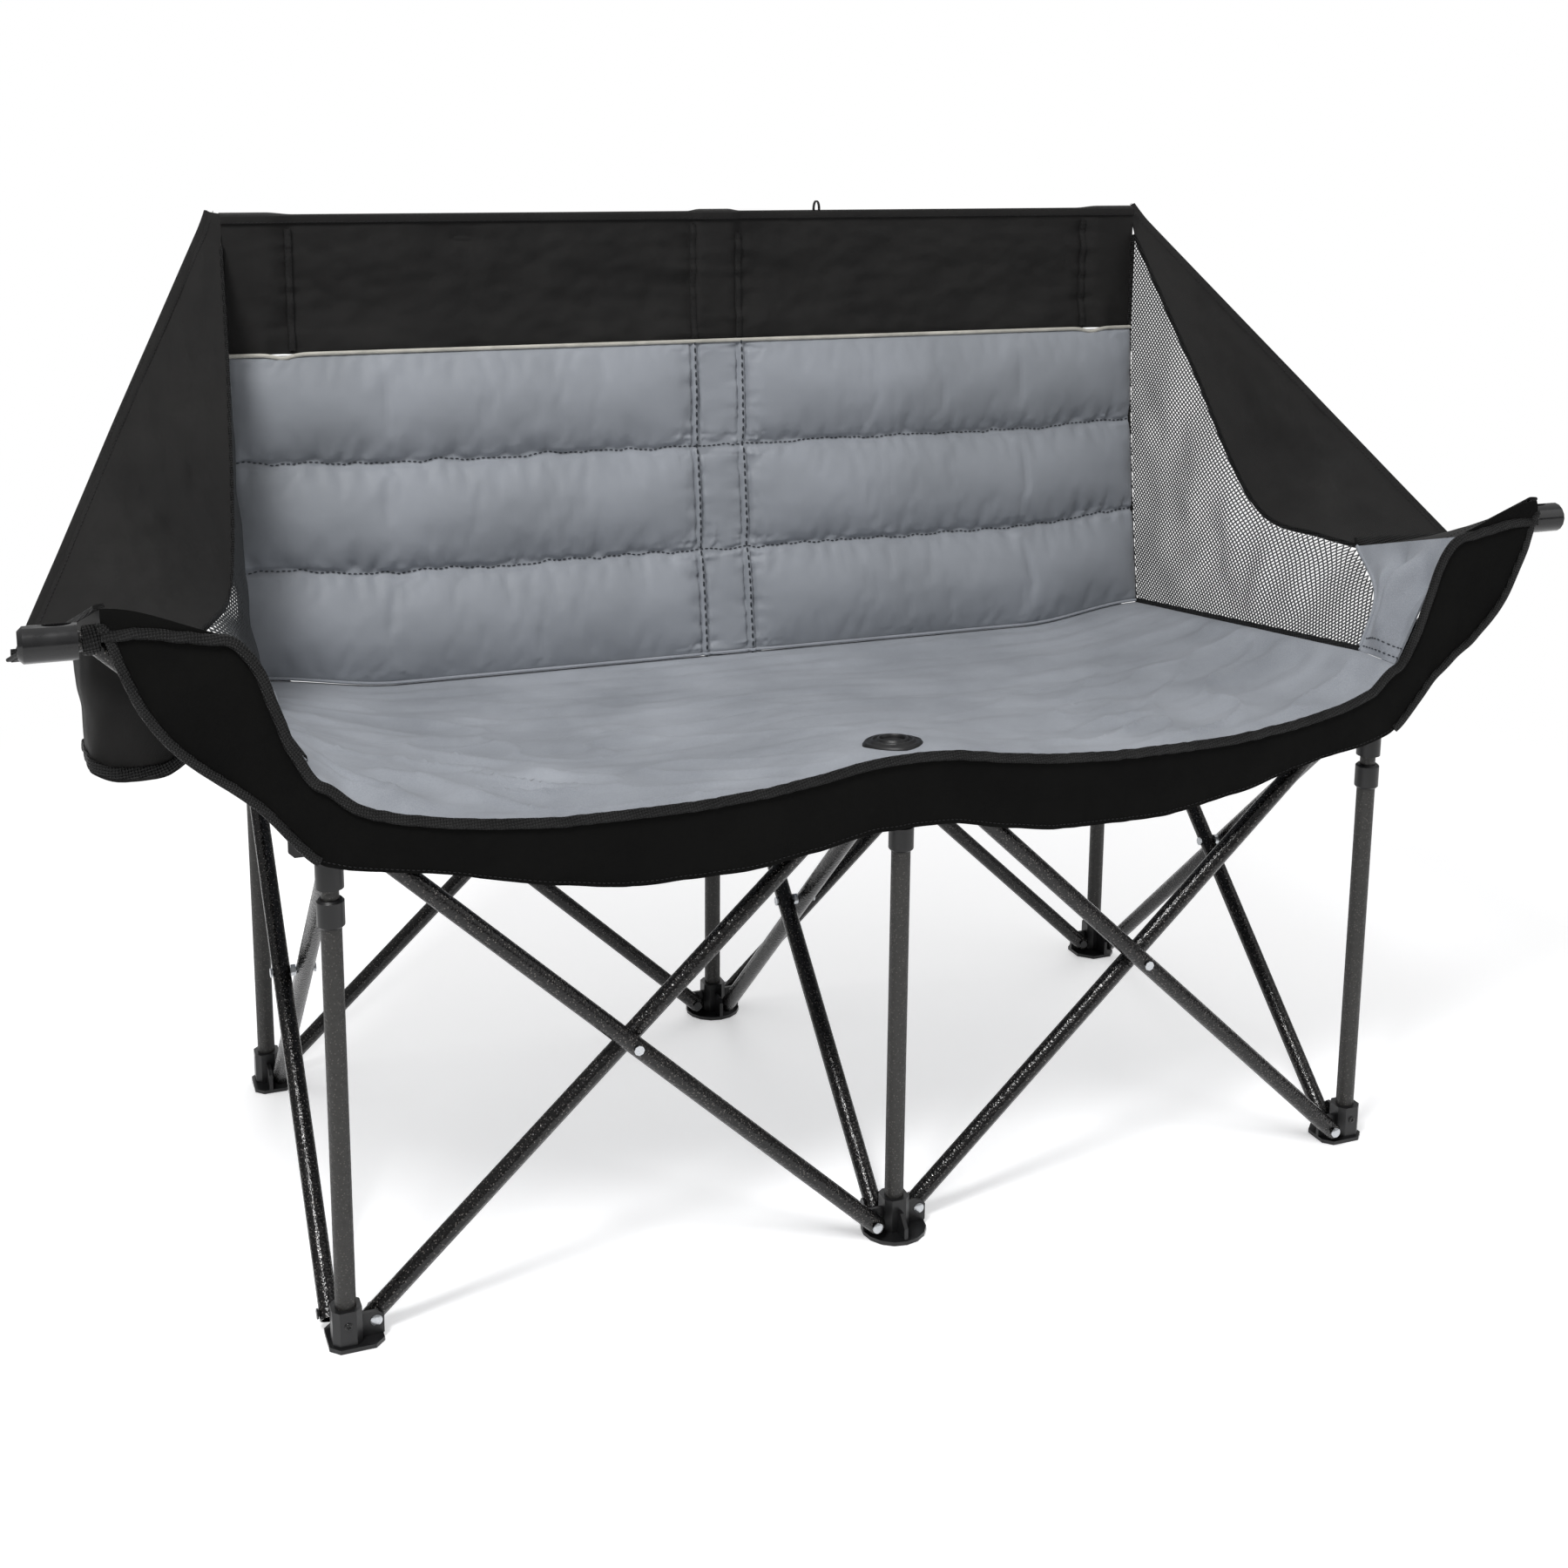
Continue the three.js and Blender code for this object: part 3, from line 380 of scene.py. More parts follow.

# ribbed woven tape of the bindings: painted light on the ribs over painted shade in the grooves, drawn
# coarser than real to show
ribbedTape = wovenCloth("blackGrosgrainTape", {
    "dark": "#050505", "light": "#232323", "roughness": 0.52, "sheen": 0.0, "specular": 0.25,
    "cloudMm": 33.33, "fleckMm": 1.111, "fleck": 0.2, "ribs": 0.9, "threadMm": 3.8, "weave": 1.0,
    "slant": 0.6, "creaseMm": 33.33, "crease": 0.05})

# satin-woven piping over the back pad: a pale silvery line
paleTape = wovenCloth("paleSilverPiping", {
    "dark": "#a3a199", "light": "#c4c1b8", "roughness": 0.42, "sheen": 0.1, "specular": 0.5,
    "cloudMm": 25.0, "fleckMm": 1.111, "fleck": 0.2, "ribs": 0.2, "threadMm": 0.7, "weave": 0.3,
    "creaseMm": 33.33, "crease": 0.04})


def twistedYarn(name, look):
    made, tree, shader = newMaterial(name, {"Roughness": look["roughness"], "Specular IOR Level": 0.3})
    place = addNode(tree, "ShaderNodeTexCoord").outputs["Object"]
    twist = addNode(tree, "ShaderNodeTexNoise", {
        "Vector": place, "Scale": 1000 / look["twistMm"], "Detail": 1.0, "Roughness": 0.55}).outputs["Fac"]
    bumps = addNode(tree, "ShaderNodeBump", {"Height": twist, "Strength": 0.3, "Distance": 0.0002})
    finishMaterial(tree, shader, twist, look, bumps)
    return made


# polyester sewing threads and the net's yarn: soft and dull, broken up by their twist
blackThread = twistedYarn("blackPolyesterThread", {
    "dark": "#0b0b0c", "light": "#232325", "roughness": 0.5, "twistMm": 0.4})
slateThread = twistedYarn("slatePolyesterThread", {
    "dark": "#2c2f33", "light": "#43474d", "roughness": 0.55, "twistMm": 0.4})
heavyThread = twistedYarn("heavySlateThread", {
    "dark": "#24272b", "light": "#3a3e44", "roughness": 0.55, "twistMm": 0.4})
# the net's yarn is grey, drawn darker than its own tone as painted shade for the nets, which sit in shade
netYarn = twistedYarn("greyNetYarn", {
    "dark": "#36383a", "light": "#525456", "roughness": 0.65, "twistMm": 0.4})


def hammeredSteel(name, look):
    made, tree, shader = newMaterial(name, {"Metallic": look["metal"], "Specular IOR Level": 0.6})
    place = addNode(tree, "ShaderNodeTexCoord").outputs["Object"]
    cells = addNode(tree, "ShaderNodeTexVoronoi", {
        "Vector": place, "Scale": 1000 / look["dentMm"]}, feature="SMOOTH_F1").outputs["Distance"]
    speck = addNode(tree, "ShaderNodeTexVoronoi", {
        "Vector": place, "Scale": 1000 / look["speckMm"]}, feature="F1").outputs["Distance"]
    broad = addNode(tree, "ShaderNodeTexNoise", {
        "Vector": place, "Scale": 1000 / look["rippleMm"], "Detail": 3.0, "Roughness": 0.55}).outputs["Fac"]
    spots = addNode(tree, "ShaderNodeMapRange", {
        "Value": speck, "From Min": 0.1, "From Max": 0.3, "To Min": 1.0, "To Max": 0.0})
    gloss = addNode(tree, "ShaderNodeMapRange", {
        "Value": broad, "From Min": 0.3, "From Max": 0.7, "To Min": look["smoothest"],
        "To Max": look["roughest"]})
    tree.links.new(gloss.outputs["Result"], shader.inputs["Roughness"])
    skin = addNode(tree, "ShaderNodeBump", {"Height": cells, "Strength": look["dents"], "Distance": 0.0008})
    rippled = addNode(tree, "ShaderNodeBump", {
        "Height": broad, "Strength": look["dents"] * 0.6, "Distance": 0.0008,
        "Normal": skin.outputs["Normal"]})
    finishMaterial(tree, shader, spots.outputs["Result"], look, rippled)
    return made


# hammered powder coat of the crossing tubes and arms: glossy black with silvery specks, a little coarser than
# real so that they show
tubeCoat = hammeredSteel("blackHammeredPowderCoat", {
    "dark": "#100f0f", "light": "#6e6a66", "metal": 0.35, "smoothest": 0.13, "roughest": 0.28, "dents": 0.55,
    "dentMm": 2.083, "speckMm": 2.778, "rippleMm": 3.846})

# duller coat of the same kind on the upright posts and poles: charcoal, with hardly any shine
postCoat = hammeredSteel("mattHammeredPowderCoat", {
    "dark": "#2a2927", "light": "#55524e", "metal": 0.15, "smoothest": 0.42, "roughest": 0.6, "dents": 0.5,
    "dentMm": 2.083, "speckMm": 2.778, "rippleMm": 3.846})


def mouldedPlastic(name, look):
    made, tree, shader = newMaterial(name, {"Specular IOR Level": 0.45})
    place = addNode(tree, "ShaderNodeTexCoord").outputs["Object"]
    broad = addNode(tree, "ShaderNodeTexNoise", {
        "Vector": place, "Scale": 1000 / look["cloudMm"], "Detail": 4.0, "Roughness": 0.55}).outputs["Fac"]
    worn = addNode(tree, "ShaderNodeMapRange", {
        "Value": broad, "From Min": 0.3, "From Max": 0.7,
        "To Min": look["roughness"] - 0.07, "To Max": look["roughness"] + 0.07})
    tree.links.new(worn.outputs["Result"], shader.inputs["Roughness"])
    fine = addNode(tree, "ShaderNodeTexNoise", {
        "Vector": place, "Scale": 1000 / look["grainMm"], "Detail": 2.0, "Roughness": 0.55}).outputs["Fac"]
    bumps = addNode(tree, "ShaderNodeBump", {"Height": fine, "Strength": look["grain"], "Distance": 0.0003})
    finishMaterial(tree, shader, broad, look, bumps)
    return made


# injection-moulded nylon of the feet, brackets, sliders and collars: black with a soft satin skin
footPlastic = mouldedPlastic("blackMouldedNylon", {
    "dark": "#121213", "light": "#1e1e1f", "roughness": 0.36, "grain": 0.25,
    "cloudMm": 16.67, "grainMm": 0.625})

# polished moulding of the arm grips: smooth graphite with a clear highlight
gripPlastic = mouldedPlastic("glossGraphiteGrip", {
    "dark": "#151516", "light": "#252526", "roughness": 0.17, "grain": 0.05,
    "cloudMm": 16.67, "grainMm": 0.625})

# moulded rubber of the heater switch: black and slightly soft in its shine
switchRubber = mouldedPlastic("blackSwitchRubber", {
    "dark": "#0a0a0b", "light": "#151516", "roughness": 0.44, "grain": 0.25,
    "cloudMm": 16.67, "grainMm": 0.625})

# steel screws blackened in a bath, so a dark coat over the metal: nearly black with an oily shine
screwSteel = mouldedPlastic("blackOxideScrew", {
    "dark": "#0c0c0c", "light": "#242424", "roughness": 0.28, "grain": 0.2,
    "cloudMm": 16.67, "grainMm": 0.625})


def platedZinc(name, look):
    made, tree, shader = newMaterial(name, {"Metallic": 1.0})
    place = addNode(tree, "ShaderNodeTexCoord").outputs["Object"]
    scuff = addNode(tree, "ShaderNodeTexNoise", {
        "Vector": place, "Scale": 1000 / look["scuffMm"], "Detail": 4.0, "Roughness": 0.7}).outputs["Fac"]
    worn = addNode(tree, "ShaderNodeMapRange", {
        "Value": scuff, "To Min": look["smoothest"], "To Max": look["roughest"]})
    tree.links.new(worn.outputs["Result"], shader.inputs["Roughness"])
    bumps = addNode(tree, "ShaderNodeBump", {"Height": scuff, "Strength": 0.15, "Distance": 0.0002})
    finishMaterial(tree, shader, scuff, look, bumps)
    return made


# bright zinc plating of rivets and pin heads: pale silver with fine scuffs
zincPlate = platedZinc("brightZincPlate", {
    "dark": "#a4a8ad", "light": "#d8dadc", "smoothest": 0.18, "roughest": 0.42, "scuffMm": 1.4286})
print("finishes made")


# frame

frameFinish = {"foot_": footPlastic, "bracket_": footPlastic, "slider_": footPlastic, "collar_": footPlastic,
               "arm_grip_": gripPlastic, "rivet_": zincPlate, "switch_button": switchRubber,
               "front_post_": postCoat, "rear_pole_": postCoat, "inner_tube_": postCoat}
for name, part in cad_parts.items():
    part.data.materials.clear()
    finish = next((coat for start, coat in frameFinish.items() if name.startswith(start)), tubeCoat)
    part.data.materials.append(finish)
    part.data.shade_smooth()
    weld = part.modifiers.new("weld", "WELD")
    weld.merge_threshold = 0.00001
    split = part.modifiers.new("split", "EDGE_SPLIT")
    split.split_angle = math.radians(32)

# zinc caps on the hinge pins of the feet, and a cross-head screw in each corner foot's socket
posts = {"x": 0.545, "y": 0.2725}  # centres of the corner posts and poles
hardware = {"pinOut": 0.027, "pinZ": 0.018, "pinNear": 0.010, "capRadius": 0.0054, "sides": 40,
            "socket": 0.0135, "screwZ": 0.024, "screwRadius": 0.0036, "slotLong": 0.0021, "slotHalf": 0.0005}
screwShares = ((1, -0.0002), (1, 0.0007), (0.86, 0.0013), (0.7, 0.0015))  # share of the radius, height
capShares = ((1, -0.0002), (1, 0.0006), (0.78, 0.0013), (0.42, 0.0017))


def headPiece(name, place, axis, profile, material):  # rows are (radius, height along the axis)
    aside = unit(np.cross(axis, (0.3, 0.2, 1)))
    other = np.cross(axis, aside)
    c, s = roundRing(hardware["sides"])
    flat = c[:, None] * aside[None] + s[:, None] * other[None]
    rings = [place + axis * high + flat * np.broadcast_to(radius, len(c))[:, None]
             for radius, high in profile]
    faces = ringFaces(len(rings), len(c)) + endFaces(len(rings), len(c))
    return faceOutwards(meshPiece(name, np.concatenate(rings), faces, material, smoothAngle=35))


def crossOutline():  # radius of a cross-shaped slot at each angle
    c, s = roundRing(hardware["sides"])
    return np.minimum(hardware["slotLong"] / np.maximum(np.abs(c), np.abs(s)),
                      hardware["slotHalf"] / np.maximum(np.minimum(np.abs(c), np.abs(s)), 1e-6))


capProfile = [(hardware["capRadius"] * share, high) for share, high in capShares]
screwProfile = [(hardware["screwRadius"] * share, high) for share, high in screwShares]
screwProfile += [(crossOutline(), 0.0015), (crossOutline() * 0.9, 0.0004)]
feet = (("left", -posts["x"], (1,)), ("centre", 0, (-1, 1)), ("right", posts["x"], (-1,)))
for end, sy, post in (("front", -1, "front post"), ("rear", 1, "rear pole")):
    axis = np.array([0, sy, 0], float)
    for label, footX, pins in feet:
        corners = np.array([tuple(v.co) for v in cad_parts[f"foot_{end}_{label}"].data.vertices])
        for aside in pins:
            pinX = footX + aside * hardware["pinOut"]
            beside = np.hypot(corners[:, 0] - pinX, corners[:, 2] - hardware["pinZ"]) < hardware["pinNear"]
            place = np.array([pinX, sy * (sy * corners[beside, 1]).max(), hardware["pinZ"]])
            capName = f"footPinCap.{end}.{label}.{round(pinX * 1000)}"
            cap = headPiece(capName, place, axis, capProfile, zincPlate)
            ride(cap, f"{label} {post}")
        if footX:
            place = np.array([footX, sy * (posts["y"] + hardware["socket"]), hardware["screwZ"]])
            screw = headPiece(f"socketScrew.{end}.{label}", place, axis, screwProfile, screwSteel)
            ride(screw, f"{label} {post}")
print("frame finished")


# the cover's own plan, in metres

cover = {"half": 0.5555, "frontY": -posts["y"], "rearY": posts["y"], "pinZ": 0.480, "gap": 0.0004,
         "seatRearY": 0.2165, "seatFrontY": -0.2950, "cutY": -0.0240, "switchY": -0.249, "seatDrop": 0.005,
         "sag": 0.012, "sideRise": 0.013, "riseFromShare": 0.7, "cornerRise": 0.061, "frontFromShare": 0.88,
         "padTop": 0.841, "padLean": 0.044, "poleRadius": 0.0095, "poleTop": 0.988, "gripX": 0.7382,
         "armZ": 0.678}
frontEdge = [(0, 0.41), (0.06, 0.39), (0.18, 0.23), (0.28, 0.12), (0.43, 0.05), (0.6, 0.06), (0.74, 0.17),
             (0.87, 0.38), (0.94, 0.6), (1, 1)]


def seatHeight(x, y):
    s = np.clip(np.abs(x) / cover["half"], 0, 1)
    t = np.clip((cover["seatRearY"] - y) / (cover["seatRearY"] - cover["seatFrontY"]), 0, 1)
    rear = -cover["seatDrop"] + (cover["sideRise"] + cover["seatDrop"]) * smooth(
        (s - cover["riseFromShare"]) / (1 - cover["riseFromShare"]))
    front = cover["cornerRise"] * tableAt(frontEdge, s)
    sag = cover["sag"] * np.sin(math.pi * t) * (1 - s * s)
    return cover["pinZ"] + rear + (front - rear) * np.minimum(t / cover["frontFromShare"], 1) - sag


def padBack(z):
    t = np.clip((cover["padTop"] - z) / (cover["padTop"] - cover["pinZ"]), 0, 1)
    return cover["rearY"] - cover["poleRadius"] - cover["gap"] - cover["padLean"] * t * np.sqrt(t)


foldAcross = {"joint": "fold", "axis": (1, 0, 0), "keep": 0.25}
seatPlan = {"anchor": (0, 0, 0.48), **foldAcross}
stitchRows = {}  # lines to sew, by body and thread
# pitch, length and thickness of the stitches, drawn coarser than real so that they show
stitchSize = {"blackPolyesterThread": (0.0046, 0.0033, 0.0009), "heavySlateThread": (0.0092, 0.0072, 0.0026),
              "slatePolyesterThread": (0.0060, 0.0046, 0.0016)}


def sew(body, thread, lines, plan=None, slot="black cloth"):
    stitchRows.setdefault((body, thread), {"lines": [], "plan": plan, "slot": slot})["lines"].extend(lines)


# seat: one cloth in two halves, pulled in soft folds towards the front corners
seat = {"thick": 0.006, "pull": 0.0088, "foldSize": 0.10, "ripple": 0.0044, "rippleSize": 0.08,
        "sideFade": 0.025, "frontFade": 0.018, "rearFade": 0.02, "switchClear": 0.045, "rowsRear": 65,
        "rowsFront": 73, "cols": 301}


def seatFace(yRear, yFront, rows):
    columns = np.linspace(-1, 1, seat["cols"]) * (cover["half"] - cover["gap"])
    x, y = np.meshgrid(columns, np.linspace(yRear, yFront, rows))
    out = np.abs(x)
    reach = smooth((cover["seatRearY"] - y) / 0.45)
    lean = np.sign(x) * smooth(out / 0.2)
    fan = stacked(x * 0.55 + y * lean * 0.8, y * 1.7 - out, 0.0)
    level = stacked(x * 0.35, y * 1.9, 0.0)
    edge = smooth((cover["half"] - out) / seat["sideFade"])
    edge *= smooth((y - cover["seatFrontY"]) / seat["frontFade"])
    edge *= smooth((cover["seatRearY"] - y) / seat["rearFade"])
    edge *= 1 - np.exp(-(x ** 2 + (y - cover["switchY"]) ** 2) / seat["switchClear"] ** 2)
    ridges = 1 - 2 * np.sqrt(np.abs(lumps(fan, seat["foldSize"], 11.3, 1)))
    lift = seat["pull"] * ridges * reach * (0.35 + 0.65 * smooth((out - 0.1) / 0.3))
    lift += seat["ripple"] * lumps(level, seat["rippleSize"], 4.7, 2)
    return stacked(x, y, seatHeight(x, y) + edge * lift)


for name, body, node, yRear, yFront, rows in (
        ("seatRearCloth", "seat rear", "seat_rear", cover["seatRearY"], cover["cutY"] + cover["gap"] / 2,
         seat["rowsRear"]),
        ("seatFrontCloth", "seat front", "seat_front", cover["cutY"] - cover["gap"] / 2,
         cover["seatFrontY"] + cover["gap"], seat["rowsFront"])):
    face = seatFace(yRear, yFront, rows)
    piece = closedSheet(name, face, face - np.array([0, 0, seat["thick"]]), seatCloth)
    ride(piece, body, seatPlan)
    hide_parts(node)
print("seat made")


# back pad: three channels each side of a plain strip, blown up between its stitched lines
pad = {"cols": 223, "rowsPerChannel": 24, "channels": 3, "edge": 0.005, "crown": 0.013, "strip": 0.029,
       "stripShare": 0.3, "foot": 0.002, "head": 0.001, "cap": 0.012, "least": 0.003, "stitchOut": 0.0006}
pressed = {"quality": 6, "mass": 0.2, "tension_stiffness": 12, "compression_stiffness": 6,
           "shear_stiffness": 4, "bending_stiffness": 0.15, "use_pressure": True,
           "uniform_pressure_force": 3.5, "vertex_group_mass": "stitched",
           "shrink_min": -0.012}  # below 0 the cloth is cut larger
quilt = {"pucker": 0.0085, "puckerSize": 0.021, "reach": 0.013, "sideSize": 0.011, "sideReach": 0.011,
         "rib": 0.0020, "ribWide": 0.0028, "ribSize": 0.006, "dip": 0.0038, "dipOut": 0.0045,
         "dipWide": 0.0018, "wave": 0.0008, "waveSize": 0.05, "groove": 0.0030, "grooveWide": 0.0026,
         "wander": 0.0032, "wanderSize": 0.024, "wanderReach": 0.007}


def padSheet():
    cols, rows = pad["cols"], pad["rowsPerChannel"] * pad["channels"] + 1
    x = np.linspace(-cover["half"], cover["half"], cols)[None].repeat(rows, 0)
    v = np.linspace(0, 1, rows)[:, None].repeat(cols, 1)
    low = seatHeight(x, np.full_like(x, cover["seatRearY"])) + pad["foot"]
    z = low + (cover["padTop"] - pad["head"] - low) * v
    channel = np.sqrt(np.maximum(1 - (2 * ((v * pad["channels"]) % 1) - 1) ** 2, 0))
    side = np.abs(x)
    panel = np.clip((side - pad["strip"]) / (cover["half"] - pad["strip"]), 0, 1)
    swell = np.sqrt(np.sqrt(np.maximum(1 - (2 * panel - 1) ** 2, 0)))
    depth = pad["edge"] + pad["crown"] * channel * np.where(side < pad["strip"], pad["stripShare"], swell)
    return stacked(x, padBack(z) - depth, z)


def blownUp(face, held):  # cloth under pressure, held along its stitched lines
    sheet = meshPiece("padRough", face.reshape(-1, 3), gridFaces(*face.shape[:2]), padCloth)
    group = sheet.vertex_groups.new(name="stitched")
    group.add([int(i) for i in np.flatnonzero(held.ravel())], 1.0, "REPLACE")
    rule = sheet.modifiers.new("cloth", "CLOTH").settings
    for key, value in pressed.items():
        setattr(rule, key, value)
    rule.effector_weights.gravity = 0
    for moment in range(1, 22):
        scene.frame_set(moment)
    moved = sheet.evaluated_get(bpy.context.evaluated_depsgraph_get())
    co = np.zeros(len(moved.data.vertices) * 3)
    moved.data.vertices.foreach_get("co", co)
    bpy.data.objects.remove(sheet)
    scene.frame_set(1)
    shift = co.reshape(face.shape) - face
    size = np.linalg.norm(shift, axis=-1, keepdims=True)
    return face + shift * np.minimum(1, pad["cap"] / np.maximum(size, 1e-9))


def closeTo(lines, fineStep, coarseStep, low, high, near):  # places from low to high, close beside the lines
    places = [low]
    while places[-1] < high - fineStep / 2:
        away = min(abs(places[-1] - line) for line in lines)
        places.append(min(high, places[-1] + (fineStep if away < near else coarseStep)))
    places[-1] = high
    return np.array(places)


def quilted(face, share):  # what the thread draws: puckers, ribs, dips and grooves
    x, z = face[..., 0], face[..., 2]
    seamNumber = np.round(share)
    fromSeam = (share - seamNumber) * (cover["padTop"] - cover["pinZ"]) / pad["channels"]
    fromStrip = np.abs(x) - pad["strip"]
    away, aside = np.abs(fromSeam), np.abs(fromStrip)
    sewn = (seamNumber > 0) & (seamNumber < pad["channels"])
    drawn = np.abs(lumps(stacked(x, seamNumber * 3.0, fromSeam * 0.25), quilt["puckerSize"], 61.0, 2))
    pucker = drawn * np.exp(-away / quilt["reach"]) * smooth(away / 0.003) * np.where(fromSeam > 0, 1.0, 0.6)
    drawn = np.abs(lumps(stacked(fromStrip * 0.15, np.sign(x) * 5.0, z), quilt["sideSize"], 71.0, 2))
    sidePucker = drawn * np.exp(-aside / quilt["sideReach"]) * smooth((aside - 0.002) / 0.004)
    uneven = 0.6 + 0.8 * lumps(stacked(np.sign(x), 0.0, z), quilt["ribSize"], 81.0, 1)
    rib = np.exp(-(fromStrip / quilt["ribWide"]) ** 2) * uneven
    dip = np.exp(-((aside - quilt["dipOut"]) / quilt["dipWide"]) ** 2)
    groove = sewn * np.exp(-(fromSeam / quilt["grooveWide"]) ** 2)
    wave = lumps(stacked(x * 0.5, 0.0, z), quilt["waveSize"], 91.0, 2) * smooth(away / 0.02)
    wander = lumps(stacked(x, seamNumber, 0.0), quilt["wanderSize"], 95.0, 2)
    high = z + quilt["wander"] * sewn * wander * np.exp(-away / quilt["wanderReach"])
    deep = face[..., 1] + quilt["pucker"] * (1.6 * pucker * sewn + 1.3 * sidePucker) - quilt["rib"] * rib \
        + quilt["dip"] * dip + quilt["wave"] * wave + quilt["groove"] * groove
    return stacked(x, np.minimum(deep, padBack(high) - pad["least"]), high)


padFace = padSheet()
step = 2 * cover["half"] / (pad["cols"] - 1)
across = np.abs(padFace[..., 0])
onSeam = (np.arange(len(padFace)) % pad["rowsPerChannel"] == 0)[:, None]
padFace = blownUp(padFace, onSeam | (across < pad["strip"] + step) | (across > cover["half"] - step / 2))
columnAt = closeTo((-pad["strip"], pad["strip"]), 0.0016, 0.0046, -cover["half"], cover["half"], 0.026)
rowAt = closeTo(range(pad["channels"] + 1), 0.013, 0.042, 0.0, float(pad["channels"]), 0.13)
padFace = finerAlong(padFace, (columnAt + cover["half"]) / step, 1)
padFace = finerAlong(padFace, rowAt * pad["rowsPerChannel"], 0)
padFace = quilted(padFace, rowAt[:, None].repeat(len(columnAt), 1))
padRear = stacked(padFace[..., 0], padBack(padFace[..., 2]), padFace[..., 2])
padPlan = {"anchor": (0, cover["rearY"], 0.6), **foldAcross}
backPad = closedSheet("backPad", padFace, padRear, padCloth, 70)
ride(backPad, "centre rear pole", padPlan)
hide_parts("back_pad")


def padColumn(at, out):  # line down the pad's face
    return padFace[:, np.argmin(np.abs(columnAt - at))] - np.array([0, out, 0])


def padRow(at, out):  # line along the pad's face
    return padFace[np.argmin(np.abs(rowAt - at))] - np.array([0, out, 0])


stripLines = [padColumn(sign * pad["strip"], pad["stitchOut"]) for sign in (-1, 1)]
seamLines = [padRow(number, pad["stitchOut"]) for number in range(1, pad["channels"])]
sew("centre rear pole", heavyThread, stripLines, padPlan, "grey cloth")
sew("centre rear pole", slateThread, seamLines, padPlan, "grey cloth")

# pale piping where the pad meets the head band, and the thin cord at the pad's foot
piping = {"inset": 0.002, "out": 0.0062, "up": 0.0006, "dip": 0.004, "dipX": 0.497, "dipWide": 0.013,
          "size": (0.0046, 0.0034, 10, 1.0), "cordOut": 0.0026, "cordUp": 0.0014,
          "cordSize": (0.0036, 0.0034, 8, 1.0)}
pipingX = np.linspace(-cover["half"] + piping["inset"], cover["half"] - piping["inset"], 240)
dipAt = np.exp(-((np.abs(pipingX) - piping["dipX"]) / piping["dipWide"]) ** 2)
pipingLine = stacked(pipingX, padBack(cover["padTop"]) - piping["out"],
                     cover["padTop"] + piping["up"] - piping["dip"] * dipAt)
trim("padPiping", pipingLine, (0, -1, 0), piping["size"], paleTape, "centre rear pole", padPlan)
footLine = padRow(0, piping["cordOut"])[::2] + np.array([0, 0, piping["cordUp"]])
trim("padFootCord", footLine, (0, -1, 0), piping["cordSize"], seatCloth, "centre rear pole", padPlan)
print("back pad made")


# head band: front panel, fold over the pole tops and rear flap, drawn into a sleeve round each pole
band = {"thick": 0.0016, "cols": 321, "front": 44, "over": 9, "rear": 26, "round": 0.0102, "flat": 0.0036,
        "inset": 0.0005, "foot": 0.001, "top": 0.0006, "crown": 0.0042, "hollow": 0.0022, "rearDrop": 0.090,
        "middleSleeve": 0.033, "cornerSleeve": 0.478, "slack": 0.0034, "slackSize": 0.06, "pull": 0.0036,
        "pullSize": 0.018, "pullReach": 0.02, "droop": 0.004, "droopX": 0.516, "droopWide": 0.012,
        "droopFrom": 0.90}
bandSeams = {"corner": 0.487, "middle": 0.029, "size": (0.0075, 0.0034, 10), "out": 0.0018, "from": 0.004,
             "rows": (-0.0024, 0.0024)}
bandHems = {"wide": 0.009, "down": 0.0035, "flapWide": 0.012, "flapUp": 0.006, "thick": 0.0018,
            "rowOut": 0.0011}
bandPlan = {"anchor": (0, cover["rearY"], 0.9), **foldAcross}
bandX = np.linspace(-cover["half"] + band["inset"], cover["half"] - band["inset"], band["cols"])
bandTop = cover["poleTop"] + band["top"]


def bandFace():
    low = cover["padTop"] + band["foot"]
    middle = smooth((band["middleSleeve"] - np.abs(bandX)) / 0.016)
    full = np.maximum(middle, smooth((np.abs(bandX) - band["cornerSleeve"]) / 0.03))  # 1 round a pole
    gap = band["flat"] + (band["round"] - band["flat"]) * full
    rows = []
    for t in np.linspace(0, 1, band["front"], endpoint=False):
        deep = full + (1 - full) * smooth(1 - t / 0.35)
        reach = band["flat"] + (band["round"] - band["flat"]) * deep
        rows.append(stacked(bandX, cover["rearY"] - reach, low + (bandTop - low) * t))
    for turn in np.linspace(0, math.pi, band["over"]):
        top = bandTop + band["crown"] * math.sin(turn) - band["hollow"] * (1 - full)
        rows.append(stacked(bandX, cover["rearY"] - gap * math.cos(turn), top))
    for t in np.linspace(0, 1, band["rear"] + 1)[1:]:
        rows.append(stacked(bandX, cover["rearY"] + gap, bandTop - band["rearDrop"] * t))
    face = np.array(rows)
    out, z = np.abs(face[..., 0]), face[..., 2]
    away = np.sign(face[..., 1] - cover["rearY"]) * smooth((bandTop - z) / 0.03)
    slack = lumps(stacked(face[..., 0] * 0.7, 0.0, z * 1.1), band["slackSize"], 21.0)
    fromSeam = np.minimum(np.abs(out - bandSeams["corner"]), np.abs(out - bandSeams["middle"]))
    pull = lumps(stacked(face[..., 0] * 0.3, 0.0, z), band["pullSize"], 24.0, 2)
    pull *= np.exp(-fromSeam / band["pullReach"])
    droop = np.exp(-((out - band["droopX"]) / band["droopWide"]) ** 2) * (away < 0)
    droop *= smooth((band["droopFrom"] - z) / 0.045)
    face[..., 1] += away * (band["slack"] * slack * (1 - full[None]) + band["pull"] * pull)
    face[..., 1] -= band["droop"] * droop
    return face


